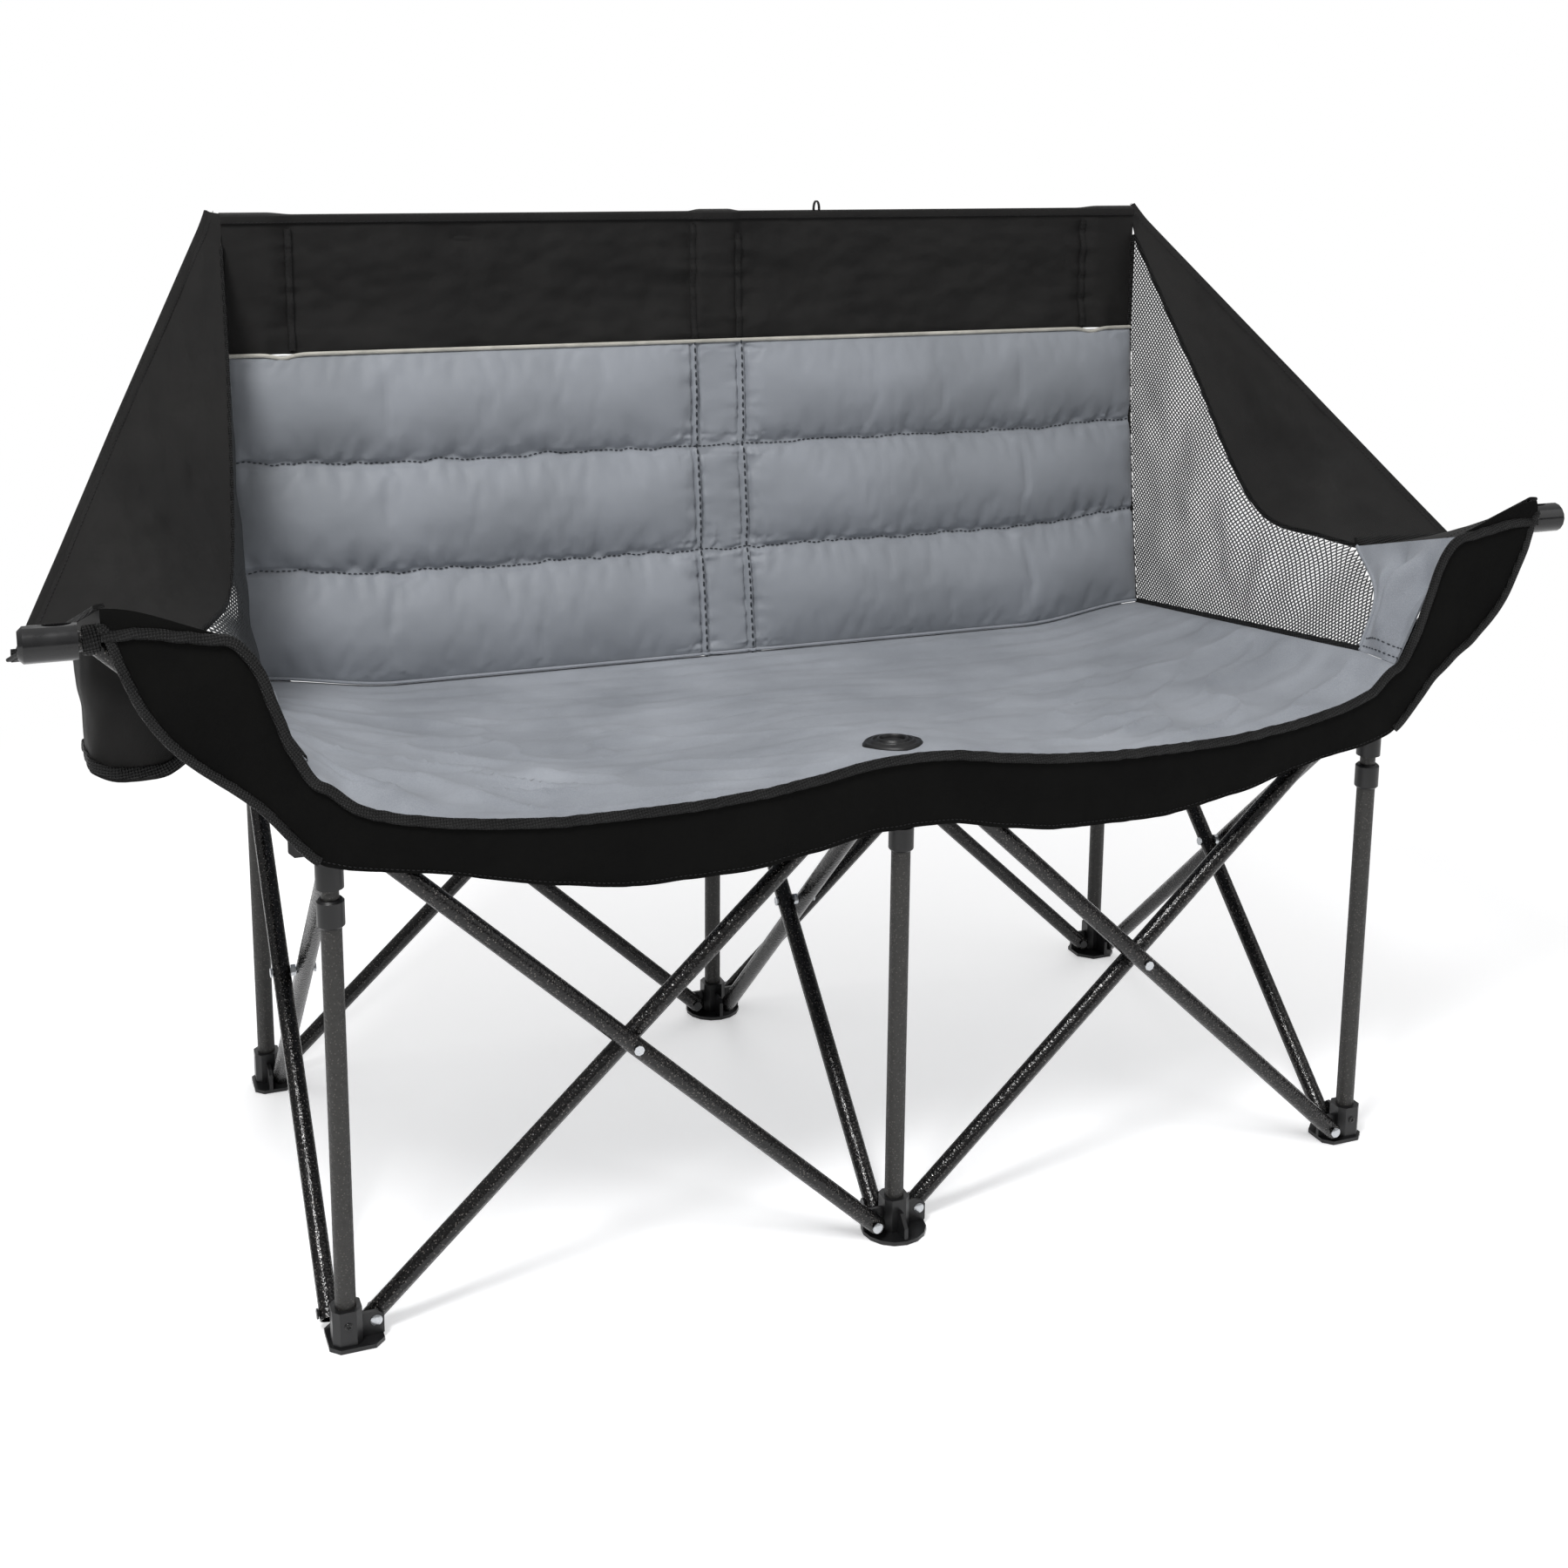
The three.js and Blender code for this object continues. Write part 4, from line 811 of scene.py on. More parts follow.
bandSurface = bandFace()
bandCloth = thickSheet("headBandCloth", bandSurface, band["thick"], blackCloth, towards=-1)
ride(bandCloth, "centre rear pole", bandPlan)
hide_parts("head_band")


def bandColumn(x, zLow, zHigh, out):  # line on the band's front, from one height to another
    column = bandSurface[:band["front"], np.argmin(np.abs(bandX - x))]
    return column[(column[:, 2] >= zLow) & (column[:, 2] <= zHigh)] - np.array([0, out, 0])


def bandRow(z, out, rear):
    rows = bandSurface[band["front"] + band["over"]:] if rear else bandSurface[:band["front"]]
    return rows[np.argmin(np.abs(rows[:, 0, 2] - z))] + np.array([0, out if rear else -out, 0])


for x, down in ((-bandSeams["corner"], 0.012), (-bandSeams["middle"], 0.012),
                (bandSeams["middle"], 0.022), (bandSeams["corner"], 0.012)):
    seam = bandColumn(x, cover["padTop"] + bandSeams["from"], bandTop - down, bandSeams["out"])
    trim(f"bandSleeveSeam.{round(x * 1000)}", seam, (0, -1, 0), bandSeams["size"], blackCloth,
         "centre rear pole", bandPlan)
    rows = [seam + np.array([aside, -bandSeams["out"], 0]) for aside in bandSeams["rows"]]
    sew("centre rear pole", blackThread, rows, bandPlan)
for label, z, wide, facing, rows in (
        ("frontHem", bandTop - bandHems["down"], bandHems["wide"], -1, (-0.003,)),
        ("rearHem", bandTop - bandHems["down"], bandHems["wide"], 1, (-0.003,)),
        ("flapHem", bandTop - band["rearDrop"] + bandHems["flapUp"], bandHems["flapWide"], 1,
         (-0.004, 0.004))):
    hem = bandRow(z, bandHems["thick"], facing > 0)
    trim(f"band.{label}", hem, (0, facing, 0), (wide, bandHems["thick"], 10), blackCloth,
         "centre rear pole", bandPlan)
    lines = [hem + np.array([0, facing * bandHems["rowOut"], up]) for up in rows]
    sew("centre rear pole", blackThread, lines, bandPlan)

# hanging loop sewn into the top hem
loop = {"x": 0.129, "halfWide": 0.0035, "up": 0.003, "high": 0.0095, "size": (0.007, 0.0011, 8)}
turn = np.linspace(-0.3, math.pi + 0.3, 22)
loopLine = stacked(loop["x"] + loop["halfWide"] * np.cos(turn), cover["rearY"],
                   bandTop + loop["up"] + loop["high"] * np.sin(turn))
trim("hangingLoop", loopLine, stacked(np.cos(turn), 0.0, np.sin(turn)), loop["size"], ribbedTape,
     "centre rear pole", bandPlan)
print("head band made")


# side panels: wing, net, arm corner and armrest, mirrored left and right
side = {"topOut": 0.012, "topBack": 0.015, "topUp": 0.005, "wingOut": 0.051, "wingAhead": 0.178,
        "wingDown": 0.060, "meetOut": 0.095, "meetAhead": 0.163, "meetDown": 0.053, "kneeOut": 0.078,
        "kneeDown": 0.006, "neckIn": 0.017, "neckUp": 0.028, "netAhead": 0.040, "netTopDown": 0.031,
        "panelY": -0.2914, "hem": 0.011}
seamShares = ((0.14, 0.33, 0.44), (0.4, 0.7, 0.94), (0.72, 0.9, 0.98))
sideStart = cover["half"] + cover["gap"]


def sidePlan(sign):
    def at(x, y, z):
        return np.array([sign * x, y, z], float)

    def seatSide(yA, yB, n):
        y = np.linspace(yA, yB, n)
        return stacked(sign * sideStart, y, seatHeight(np.full(n, cover["half"]), y))

    def padSide(n):
        z = np.linspace(seatHeight(cover["half"], cover["seatRearY"]), plan["netTop"][2], n)
        return stacked(sign * sideStart, np.minimum(padBack(z) - 0.005, plan["netTop"][1]), z)

    armX, armZ, netFrontY = cover["gripX"], cover["armZ"], cover["frontY"] + side["netAhead"]
    plan = {
        "wingTop": at(sideStart + side["topOut"], cover["rearY"] + side["topBack"],
                      cover["poleTop"] + side["topUp"]),
        "wingLow": at(armX + side["wingOut"], cover["frontY"] + side["wingAhead"], armZ - side["wingDown"]),
        "meet": at(posts["x"] + side["meetOut"], cover["frontY"] + side["meetAhead"],
                   armZ - side["meetDown"]),
        "bandEnd": at(sideStart - 0.005, cover["rearY"] - 0.004, cover["poleTop"] + 0.003),
        "netTop": at(sideStart, cover["rearY"] - 0.0135, cover["poleTop"] - side["netTopDown"]),
        "knee": at(posts["x"] + side["kneeOut"], side["panelY"], armZ - side["kneeDown"]),
        "neck": at(armX - side["neckIn"], side["panelY"], armZ + side["neckUp"])}
    middle = [plan["netTop"] + (plan["meet"] - plan["netTop"]) * np.array(s) for s in seamShares]
    netFront = seatSide(netFrontY, netFrontY, 1)[0]
    bulge = netFront + (plan["meet"] - netFront) * np.array([0.55, 0.3, 0.58])
    corner = seatSide(side["panelY"], side["panelY"], 1)[0]
    kneeMiddle = corner + (plan["knee"] - corner) * np.array([0.49, 1, 0.53])
    plan["seam"] = lambda n: throughPoints([plan["netTop"], *middle, plan["meet"]], n)
    plan["seatSide"] = lambda n: seatSide(cover["seatRearY"], netFrontY, n)
    plan["cornerSide"] = lambda n: seatSide(netFrontY, side["panelY"], n)
    plan["netEdge"] = lambda n: throughPoints([netFront, bulge, plan["meet"]], n)
    plan["kneeEdge"] = lambda n: throughPoints([corner, kneeMiddle, plan["knee"]], n)
    plan["padSide"] = padSide
    return plan


def newTree(name, sockets):
    tree = bpy.data.node_groups.new(name, "GeometryNodeTree")
    tree.interface.new_socket("Geometry", in_out="INPUT", socket_type="NodeSocketGeometry")
    for label, kind, value in sockets:
        socket = tree.interface.new_socket(label, in_out="INPUT", socket_type=kind)
        if value is not None:
            socket.default_value = value
    tree.interface.new_socket("Geometry", in_out="OUTPUT", socket_type="NodeSocketGeometry")
    return tree, addNode(tree, "NodeGroupInput")


def finishTree(tree, geometry, material):
    real = addNode(tree, "GeometryNodeRealizeInstances", {"Geometry": geometry})
    coat = addNode(tree, "GeometryNodeSetMaterial", {
        "Geometry": real.outputs["Geometry"], "Material": material})
    addNode(tree, "NodeGroupOutput", {"Geometry": coat.outputs["Geometry"]})
    return tree


def strandTree():  # turns the net's knots and links into round strands
    tree, start = newTree("netStrands", (
        ("Strand Radius", "NodeSocketFloat", 0.0005), ("Sides", "NodeSocketInt", 3),
        ("Yarn", "NodeSocketMaterial", None)))
    curves = addNode(tree, "GeometryNodeMeshToCurve", {"Mesh": start.outputs["Geometry"]})
    ring = addNode(tree, "GeometryNodeCurvePrimitiveCircle", {
        "Resolution": start.outputs["Sides"], "Radius": start.outputs["Strand Radius"]})
    swept = addNode(tree, "GeometryNodeCurveToMesh", {
        "Curve": curves.outputs["Curve"], "Profile Curve": ring.outputs["Curve"]})
    return finishTree(tree, swept.outputs["Mesh"], start.outputs["Yarn"])


def stitchTree():  # lays thread stitches along each line of points
    tree, start = newTree("stitchRow", (
        ("Pitch", "NodeSocketFloat", 0.0046), ("Length", "NodeSocketFloat", 0.0033),
        ("Thickness", "NodeSocketFloat", 0.0009), ("Thread", "NodeSocketMaterial", None)))
    curves = addNode(tree, "GeometryNodeMeshToCurve", {"Mesh": start.outputs["Geometry"]})
    spaced = addNode(tree, "GeometryNodeResampleCurve", {
        "Curve": curves.outputs["Curve"], "Length": start.outputs["Pitch"]}, mode="LENGTH")
    tangent = addNode(tree, "GeometryNodeInputTangent")
    turned = addNode(tree, "FunctionNodeAlignRotationToVector", {"Vector": tangent.outputs[0]}, axis="X")
    bead = addNode(tree, "GeometryNodeMeshIcoSphere", {"Radius": 0.5, "Subdivisions": 1})
    size = addNode(tree, "ShaderNodeCombineXYZ", {
        "X": start.outputs["Length"], "Y": start.outputs["Thickness"], "Z": start.outputs["Thickness"]})
    laid = addNode(tree, "GeometryNodeInstanceOnPoints", {
        "Points": spaced.outputs["Curve"], "Instance": bead.outputs["Mesh"],
        "Rotation": turned.outputs["Rotation"], "Scale": size.outputs["Vector"]})
    return finishTree(tree, laid.outputs["Instances"], start.outputs["Thread"])


def grown(name, verts, edges, tree, values):  # runs a node tree once and keeps the result as a plain mesh
    mesh = bpy.data.meshes.new(name + "Lines")
    mesh.from_pydata(np.asarray(verts, float).tolist(), edges, [])
    source = bpy.data.objects.new(name + "Lines", mesh)
    scene.collection.objects.link(source)
    modifier = source.modifiers.new("grow", "NODES")
    modifier.node_group = tree
    for item in tree.interface.items_tree:
        if item.name in values:
            modifier[item.identifier] = values[item.name]
    piece = keptMesh(name, source)
    piece.data.shade_smooth()
    return piece


strands, stitches = strandTree(), stitchTree()
net = {"cell": 0.0060, "strand": 0.00094, "rayX": 0.40}  # cell drawn coarser than real so that it shows


def netPiece(name, surface, sign):  # diamond net, its knots where rays from over the seat meet the surface
    tree = BVHTree.FromPolygons([tuple(p) for p in surface.reshape(-1, 3)], gridFaces(*surface.shape[:2]))
    low, high = surface.reshape(-1, 3).min(0), surface.reshape(-1, 3).max(0)
    pitch = net["cell"] / 2
    found = {}
    for i in range(int((high[1] - low[1]) / pitch) + 1):
        for j in range(i % 2, int((high[2] - low[2]) / pitch) + 1, 2):
            start = Vector((sign * net["rayX"], low[1] + i * pitch, low[2] + j * pitch))
            hit = tree.ray_cast(start, Vector((sign, 0, 0)))[0]
            if hit is not None:
                found[(i, j)] = tuple(hit)
    number = {key: n for n, key in enumerate(found)}
    edges = [(n, number[(i + 1, j + d)]) for (i, j), n in number.items() for d in (-1, 1)
             if (i + 1, j + d) in number]
    return grown(name, list(found.values()), edges, strands,
                 {"Strand Radius": net["strand"], "Sides": 3, "Yarn": netYarn})


wingSheet = {"thick": 0.0016, "slack": 0.003, "fold": 0.008, "foldSize": 0.085, "ripple": 0.0014,
             "rippleSize": 0.02, "hemThick": 0.0036, "rowsIn": (0.0015, side["hem"] - 0.0012),
             "rowOut": 0.0021, "lowHem": (0.0125, 0.0050, 12)}
netSheet = {"fold": 0.009, "foldSize": 0.09, "thick": 0.0036, "seam": 0.0055, "low": 0.011, "pad": 0.0105,
            "front": 0.0045}
cornerSheet = {"thick": 0.0025, "fold": 0.032, "foldSize": 0.06, "rowOut": 0.0006}
restSheet = {"thick": 0.0018, "fold": 0.002, "foldSize": 0.05, "edge": (0.010, 0.0040), "lift": 0.0008,
             "strap": (0.014, 0.0026), "strapIn": 0.010, "strapRadius": 0.0112}
drinkHole = {"x": -0.691, "y": -0.1525, "radius": 0.036, "sides": 48, "binding": (0.0075, 0.0044),
             "rowShare": 1.17}
restSurface = {}
for label, sign in (("left", -1), ("right", 1)):
    plan = sidePlan(sign)
    pole, arm = f"{label} rear pole", f"{label} arm tube"
    sideways = {"joint": "fold", "axis": (0.45 * sign, -0.893, 0),
                "anchor": (sign * posts["x"], posts["y"], 0.7), "keep": 0.3}

    # wing: black sheet from the band's end and the net's seam to its straight outer edge, slack in the middle
    innerEdge = np.concatenate([straight(plan["bandEnd"], plan["netTop"], 6)[:-1], plan["seam"](64)])
    shares = np.concatenate([np.linspace(0, 0.05, 6)[:-1], np.linspace(0.05, 1, 64)])
    outerEdge = plan["wingTop"] + (plan["wingLow"] - plan["wingTop"]) * shares[:, None]
    u = np.linspace(0.004, 1, 31)[None, :, None]
    wing = innerEdge[:, None] * (1 - u) + outerEdge[:, None] * u
    belly = np.sin(math.pi * u[..., 0]) * np.sin(math.pi * shares)[:, None]
    drape = stacked(wing[..., 0] * 1.2, wing[..., 1], wing[..., 2] * 0.5)
    slack = wingSheet["slack"] + wingSheet["fold"] * lumps(drape, wingSheet["foldSize"], 31.0 + sign) \
        + wingSheet["ripple"] * lumps(wing, wingSheet["rippleSize"], 35.0 + sign, 2)
    wing = wing + surfaceNormals(wing) * (slack * belly)[..., None] * sign
    wingCloth = thickSheet(f"wingCloth.{label}", wing, wingSheet["thick"], blackCloth, towards=-sign)
    ride(wingCloth, pole, sideways)
    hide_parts(f"wing_{label}")
    outward = surfaceNormals(wing)[len(wing) // 2, -2]
    inwards = unit(innerEdge - outerEdge)
    hem = resampled(outerEdge + inwards * side["hem"] / 2, 90)
    trim(f"wingOuterHem.{label}", hem, outward, (side["hem"], wingSheet["hemThick"], 10), blackCloth, pole,
         sideways)
    sew(pole, blackThread, [resampled(outerEdge + inwards * row, 90) + outward * face * wingSheet["rowOut"]
                            for row in wingSheet["rowsIn"] for face in (1, -1)], sideways)
    lowHem = straight(plan["meet"], plan["wingLow"], 30) + np.array([0, 0.001, 0.004])
    trim(f"wingLowHem.{label}", lowHem, outward, wingSheet["lowHem"], ribbedTape, pole, sideways)

    # net: round strands between bound edges, with soft folds
    surface = patchBetween(plan["seatSide"](61), plan["seam"](61), plan["padSide"](49), plan["netEdge"](49))
    folds = netSheet["fold"] * lumps(surface, netSheet["foldSize"], 37.0 + sign, 2)
    surface = surface + surfaceNormals(surface) * (folds * bellied(49, 61))[..., None]
    netCloth = netPiece(f"netStrands.{label}", surface, sign)
    ride(netCloth, pole, sideways)
    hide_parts(f"net_{label}")
    padEdge = plan["padSide"](40) + np.array([-sign * 0.0014, 0.004, 0])
    for edge, points in (("seam", plan["seam"](70)), ("low", plan["seatSide"](60)), ("pad", padEdge),
                         ("front", plan["netEdge"](40))):
        coat, slot = (seatCloth, "grey cloth") if edge == "front" else (ribbedTape, "black cloth")
        trim(f"netBinding.{edge}.{label}", points, (sign, 0, 0), (netSheet[edge], netSheet["thick"]), coat,
             pole, sideways)

    # arm corner: grey, between the net, the seat and the front binding
    corner = patchBetween(plan["cornerSide"](37), straight(plan["meet"], plan["knee"], 37),
                          plan["netEdge"](45), plan["kneeEdge"](45))
    drape = stacked(corner[..., 0] * 0.4, corner[..., 1] * 1.6, corner[..., 2] * 0.7)
    folds = cornerSheet["fold"] * lumps(drape, cornerSheet["foldSize"], 41.0 + sign, 2)
    corner = corner + surfaceNormals(corner) * (folds * bellied(45, 37))[..., None]
    armCorner = thickSheet(f"armCorner.{label}", corner, cornerSheet["thick"], seatCloth, towards=-sign)
    ride(armCorner, arm)
    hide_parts(f"arm_panel_{label}")
    facing = surfaceNormals(corner)
    facing *= -sign * np.sign(facing[..., :1])
    rows = [corner[row] + facing[row] * cornerSheet["rowOut"] for row in (2, 5)]
    sew(arm, slateThread, rows, slot="grey cloth")

    # armrest: black, from the wing's hem over the arm tube to the front binding
    rear, ahead = straight(plan["meet"], plan["wingLow"], 37), straight(plan["knee"], plan["neck"], 37)
    w = np.linspace(0.004, 1, 41)[:, None, None]
    rest = rear[None] * (1 - w) + ahead[None] * w
    inside = np.sin(math.pi * w[..., 0]) * np.sin(math.pi * np.linspace(0, 1, 37))[None]
    rest[..., 2] += restSheet["fold"] * lumps(rest, restSheet["foldSize"], 45.0 + sign, 2) * inside
    restSurface[label] = rest
    restCloth = thickSheet(f"armRest.{label}", rest, restSheet["thick"], blackCloth, towards=sign)
    if label == "left":  # round opening over the drink pocket
        c, s = roundRing(drinkHole["sides"])
        ring = stacked(drinkHole["x"] + drinkHole["radius"] * c,
                       drinkHole["y"] + drinkHole["radius"] * s, 0.5)
        walls = ringFaces(2, drinkHole["sides"]) + endFaces(2, drinkHole["sides"])
        tube = np.concatenate([ring, ring + [0, 0, 0.3]])
        cutter = faceOutwards(meshPiece("openingCutter", tube, walls, blackCloth))
        cut = restCloth.modifiers.new("opening", "BOOLEAN")
        cut.operation = "DIFFERENCE"
        cut.solver = "EXACT"
        cut.object = cutter
        restCloth = keptMesh("armRest.left", restCloth)
        bpy.data.objects.remove(cutter)
    ride(restCloth, arm)
    gripLow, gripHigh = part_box(f"arm_grip_{label}")
    strapX = sign * (min(abs(gripLow.x), abs(gripHigh.x)) - restSheet["strapIn"])
    strapMiddle = np.array([strapX, (gripLow.y + gripHigh.y) / 2, (gripLow.z + gripHigh.z) / 2])
    c, s = roundRing(40)
    strapOut = stacked(0.0, [*c, c[0]], [*s, s[0]])
    trim(f"armStrap.{label}", strapMiddle + strapOut * restSheet["strapRadius"], strapOut, restSheet["strap"],
         ribbedTape, arm, ends=False)
    lift = np.array([0, 0, restSheet["lift"]])
    trim(f"armRestEdge.{label}", rest[:, -1] + lift, (0, 0, 1), restSheet["edge"], ribbedTape, arm)
    sew(arm, blackThread, [rest[3] + lift, rest[:, -4] + lift, rest[-4] + lift])
print("side panels made")


# front apron: black cloth hanging in front of the brackets and up both arms, bound with ribbed tape
apron = {"y": -0.2974, "end": 0.7212, "fall": 0.035, "sag": 0.040, "thick": 0.0016, "cols": 421,
         "rows": 35, "least": 0.006, "fold": 0.0030, "foldSize": 0.06, "drape": 0.002, "drapeSize": 0.12,
         "levelTo": 0.553}
apronTape = {"front": (0.0098, 0.006, 14, 0.8), "out": 0.0018, "down": 0.0025, "crinkle": 0.0022,
             "crinkleSize": 0.014, "bunchX": 0.587, "edge": (0.0085, 0.0046, 12, 0.8), "edgeOut": 0.0012,
             "edgeUp": 0.002, "tipIn": 0.001, "tipDown": 0.012}
topShares = [(0, 0), (0.765, 0), (0.797, 0.2), (0.815, 0.42), (0.832, 0.64), (0.857, 0.79), (0.888, 0.85),
             (1, 1)]
crestRows = [(0, 0), (0.857, 0), (0.888, -0.0045), (0.94, -0.012), (1, -0.020)]  # tape under the crest
hemShares = [(0, -0.3), (0.05, -0.32), (0.14, -0.62), (0.25, -0.85), (0.36, -0.87), (0.49, -0.55),
             (0.63, 0.05), (0.76, 0.52), (0.84, 2.05), (0.925, 3.4), (0.96, 4.3), (0.978, 5.1), (1, 6.1)]


def apronTop(x):
    low = seatHeight(x, np.full_like(x, cover["seatFrontY"]))
    high = cover["armZ"] + side["neckUp"]
    return low + (high - low) * tableAt(topShares, np.abs(x) / apron["end"])


def apronHem(x):
    hem = cover["pinZ"] - apron["fall"] + apron["sag"] * tableAt(hemShares, np.abs(x) / apron["end"])
    return np.minimum(hem, apronTop(x) - apron["least"])


apronX = np.linspace(-apron["end"], apron["end"], apron["cols"])
up = np.linspace(0, 1, apron["rows"])[:, None]
apronZ = apronHem(apronX)[None] + (apronTop(apronX) - apronHem(apronX))[None] * up
hang = apron["fold"] * np.abs(lumps(stacked(apronX[None] * 0.9, 0.0, apronZ * 0.35), apron["foldSize"], 51.0))
drape = apron["drape"] * lumps(stacked(apronX[None] * 0.5, 3.0, apronZ * 0.8), apron["drapeSize"], 53.0, 2)
apronY = apron["y"] - 0.0015 * np.sin(math.pi * up) - (hang + drape) * (1 - up ** 2)
apronFace = stacked(apronX[None], apronY, apronZ)
apronPlan = {"joint": "fold", "axis": (1, 0, 0), "anchor": (0, -0.29, 0.48), "keep": 0.22}
apronCloth = thickSheet("apronCloth", apronFace, apron["thick"], darkCloth, towards=-1)
ride(apronCloth, "centre bracket", apronPlan)
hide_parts("front_apron")

crest = tableAt(crestRows, np.abs(apronX) / apron["end"])
edgeLine = stacked(apronX, apron["y"] - apronTape["out"], apronTop(apronX) - apronTape["down"] + crest)
bunch = np.exp(-((np.abs(apronX) - apronTape["bunchX"]) / 0.02) ** 2) + 0.35
crinkle = lumps(stacked(apronX, 0.0, 0.0), apronTape["crinkleSize"], 55.0, 2)
edgeLine[:, 2] += apronTape["crinkle"] * crinkle * bunch
trim("frontBinding", resampled(edgeLine, 620), (0, -1, 0.25), apronTape["front"], ribbedTape,
     "centre bracket", apronPlan)
for label, sign in (("left", -1), ("right", 1)):
    outer = apronFace[0, sign * apronX > apron["levelTo"]][::sign]
    outer = outer + np.array([0, -apronTape["edgeOut"], apronTape["edgeUp"]])
    tip = np.array([sign * (apron["end"] - apronTape["tipIn"]), apron["y"] - apronTape["edgeOut"],
                    cover["armZ"] + side["neckUp"] - apronTape["tipDown"]])
    hem = resampled(np.concatenate([outer, tip[None]]), 110)
    trim(f"apronEdgeBinding.{label}", hem, (0, -1, 0), apronTape["edge"], ribbedTape,
         "centre bracket", apronPlan)
middle = np.abs(apronX) < apron["levelTo"]
sew("centre bracket", blackThread, [(apronFace[row] + [0, -0.0004, 0])[middle] for row in (2, -4)], apronPlan)
print("apron made")


# drink pocket hung under the left armrest
pocket = {"wall": 0.0022, "bow": 0.03, "sides": 72, "rows": 25, "square": 0.5, "lift": 0.022, "sag": 0.012,
          "inset": 0.001, "underRest": 0.0022, "crumple": 0.0034, "crumpleSize": 0.03,
          "binding": (0.0105, 0.0034), "bindingUp": 0.003, "bindingOut": 0.0006}
low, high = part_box("cup_pocket")
low.z += pocket["lift"]
middle = (low + high) / 2
ring = [np.sign(f) * np.abs(f) ** pocket["square"] for f in roundRing(pocket["sides"])]
ringX = middle.x + ((high.x - low.x) / 2 - pocket["inset"]) * ring[0]
ringY = middle.y + ((high.y - low.y) / 2 - pocket["inset"]) * ring[1]
restTree = BVHTree.FromPolygons([tuple(p) for p in restSurface["left"].reshape(-1, 3)],
                                gridFaces(*restSurface["left"].shape[:2]))


def restHeight(px, py):  # height of the left armrest over a point
    hit = restTree.ray_cast(Vector((px, py, 0.55)), Vector((0, 0, 1)))[0]
    return (hit or restTree.find_nearest(Vector((px, py, 0.63)))[0]).z


rimZ = np.array([restHeight(px, py) - pocket["underRest"] for px, py in zip(ringX, ringY)])
floorZ = low.z + pocket["inset"] - pocket["sag"] * (1 - ring[0] ** 2)
walls = []
for t in np.linspace(0, 1, pocket["rows"]):
    pull = 1 - pocket["bow"] * math.sin(math.pi * t) - 0.03 * (1 - t)
    walls.append(stacked(middle.x + (ringX - middle.x) * pull, middle.y + (ringY - middle.y) * pull,
                         floorZ + (rimZ - floorZ) * t))
walls = np.array(walls)
outwards = unit((walls - np.array([middle.x, middle.y, 0])) * np.array([1, 1, 0]))
crumple = pocket["crumple"] * lumps(walls * np.array([1, 1, 0.5]), pocket["crumpleSize"], 57.0, 2)
walls += outwards * crumple[..., None]
inner = walls - outwards * pocket["wall"]
inner[0, :, 2] += pocket["wall"]
n, m = pocket["sides"], pocket["rows"] * pocket["sides"]
faces = ringFaces(pocket["rows"], n) + [face[::-1] for face in ringFaces(pocket["rows"], n, m)]
faces += [(m - n + i, m - n + (i + 1) % n, 2 * m - n + (i + 1) % n, 2 * m - n + i) for i in range(n)]
faces += [tuple(range(n))[::-1], tuple(m + i for i in range(n))]
verts = np.concatenate([walls.reshape(-1, 3), inner.reshape(-1, 3)])
around = np.tile(np.linspace(0, 0.36, n), pocket["rows"] * 2)
weave = np.stack([around, verts[:, 2]], axis=-1)
pocketCloth = faceOutwards(meshPiece("pocketCloth", verts, faces, blackCloth, weave))
ride(pocketCloth, "left arm tube")
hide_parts("cup_pocket")
hemRing = np.concatenate([walls[1], walls[1][:2]])
hemOut = np.concatenate([outwards[1], outwards[1][:2]])
hemLine = hemRing + [0, 0, pocket["bindingUp"]] + hemOut * pocket["bindingOut"]
trim("pocketBinding", hemLine, hemOut, pocket["binding"], ribbedTape, "left arm tube", ends=False)


def openingRing(share):  # closed line round the armrest's opening
    c, s = roundRing(60)
    x = drinkHole["x"] + share * drinkHole["radius"] * np.append(c, c[0])
    y = drinkHole["y"] + share * drinkHole["radius"] * np.append(s, s[0])
    return stacked(x, y, [restHeight(px, py) + 0.0006 for px, py in zip(x, y)])


trim("openingBinding", openingRing(1.0), (0, 0, 1), drinkHole["binding"], ribbedTape, "left arm tube",
     ends=False)
sew("left arm tube", blackThread, [openingRing(drinkHole["rowShare"]) + [0, 0, 0.0006]])
print("pocket made")


# heater switch: a leaf-shaped rubber patch with rings round the button
patch = {"halfWide": 0.031, "halfDeep": 0.033, "hole": 0.0124, "sides": 96, "point": 1.6}
# rows are (share of the way out, height), once round the patch and closed
patchRows = ((0.0, 0.0010), (0.0, 0.0056), (0.06, 0.0068), (0.16, 0.0066), (0.24, 0.0044), (0.34, 0.0042),
             (0.40, 0.0056), (0.52, 0.0054), (0.60, 0.0034), (0.70, 0.0032), (0.78, 0.0042), (0.88, 0.0038),
             (0.94, 0.0026), (1.0, 0.0012), (1.0, -0.0006), (0.0, -0.0006))
c, s = roundRing(patch["sides"])
leaf = (np.abs(c / patch["halfWide"]) ** patch["point"] + np.abs(s / patch["halfDeep"]) ** patch["point"])
leaf = leaf ** (-1 / patch["point"])
rings = []
for share, rise in patchRows:
    radius = patch["hole"] + (leaf - patch["hole"]) * share
    x, y = radius * c, cover["switchY"] + radius * s
    rings.append(stacked(x, y, seatHeight(x, y) + rise))
corners = len(rings) * patch["sides"]
faces = [tuple(k % corners for k in face) for face in ringFaces(len(rings) + 1, patch["sides"])]
switchPatch = meshPiece("switchPatch", np.concatenate(rings), faces, switchRubber, smoothAngle=50)
faceOutwards(switchPatch)
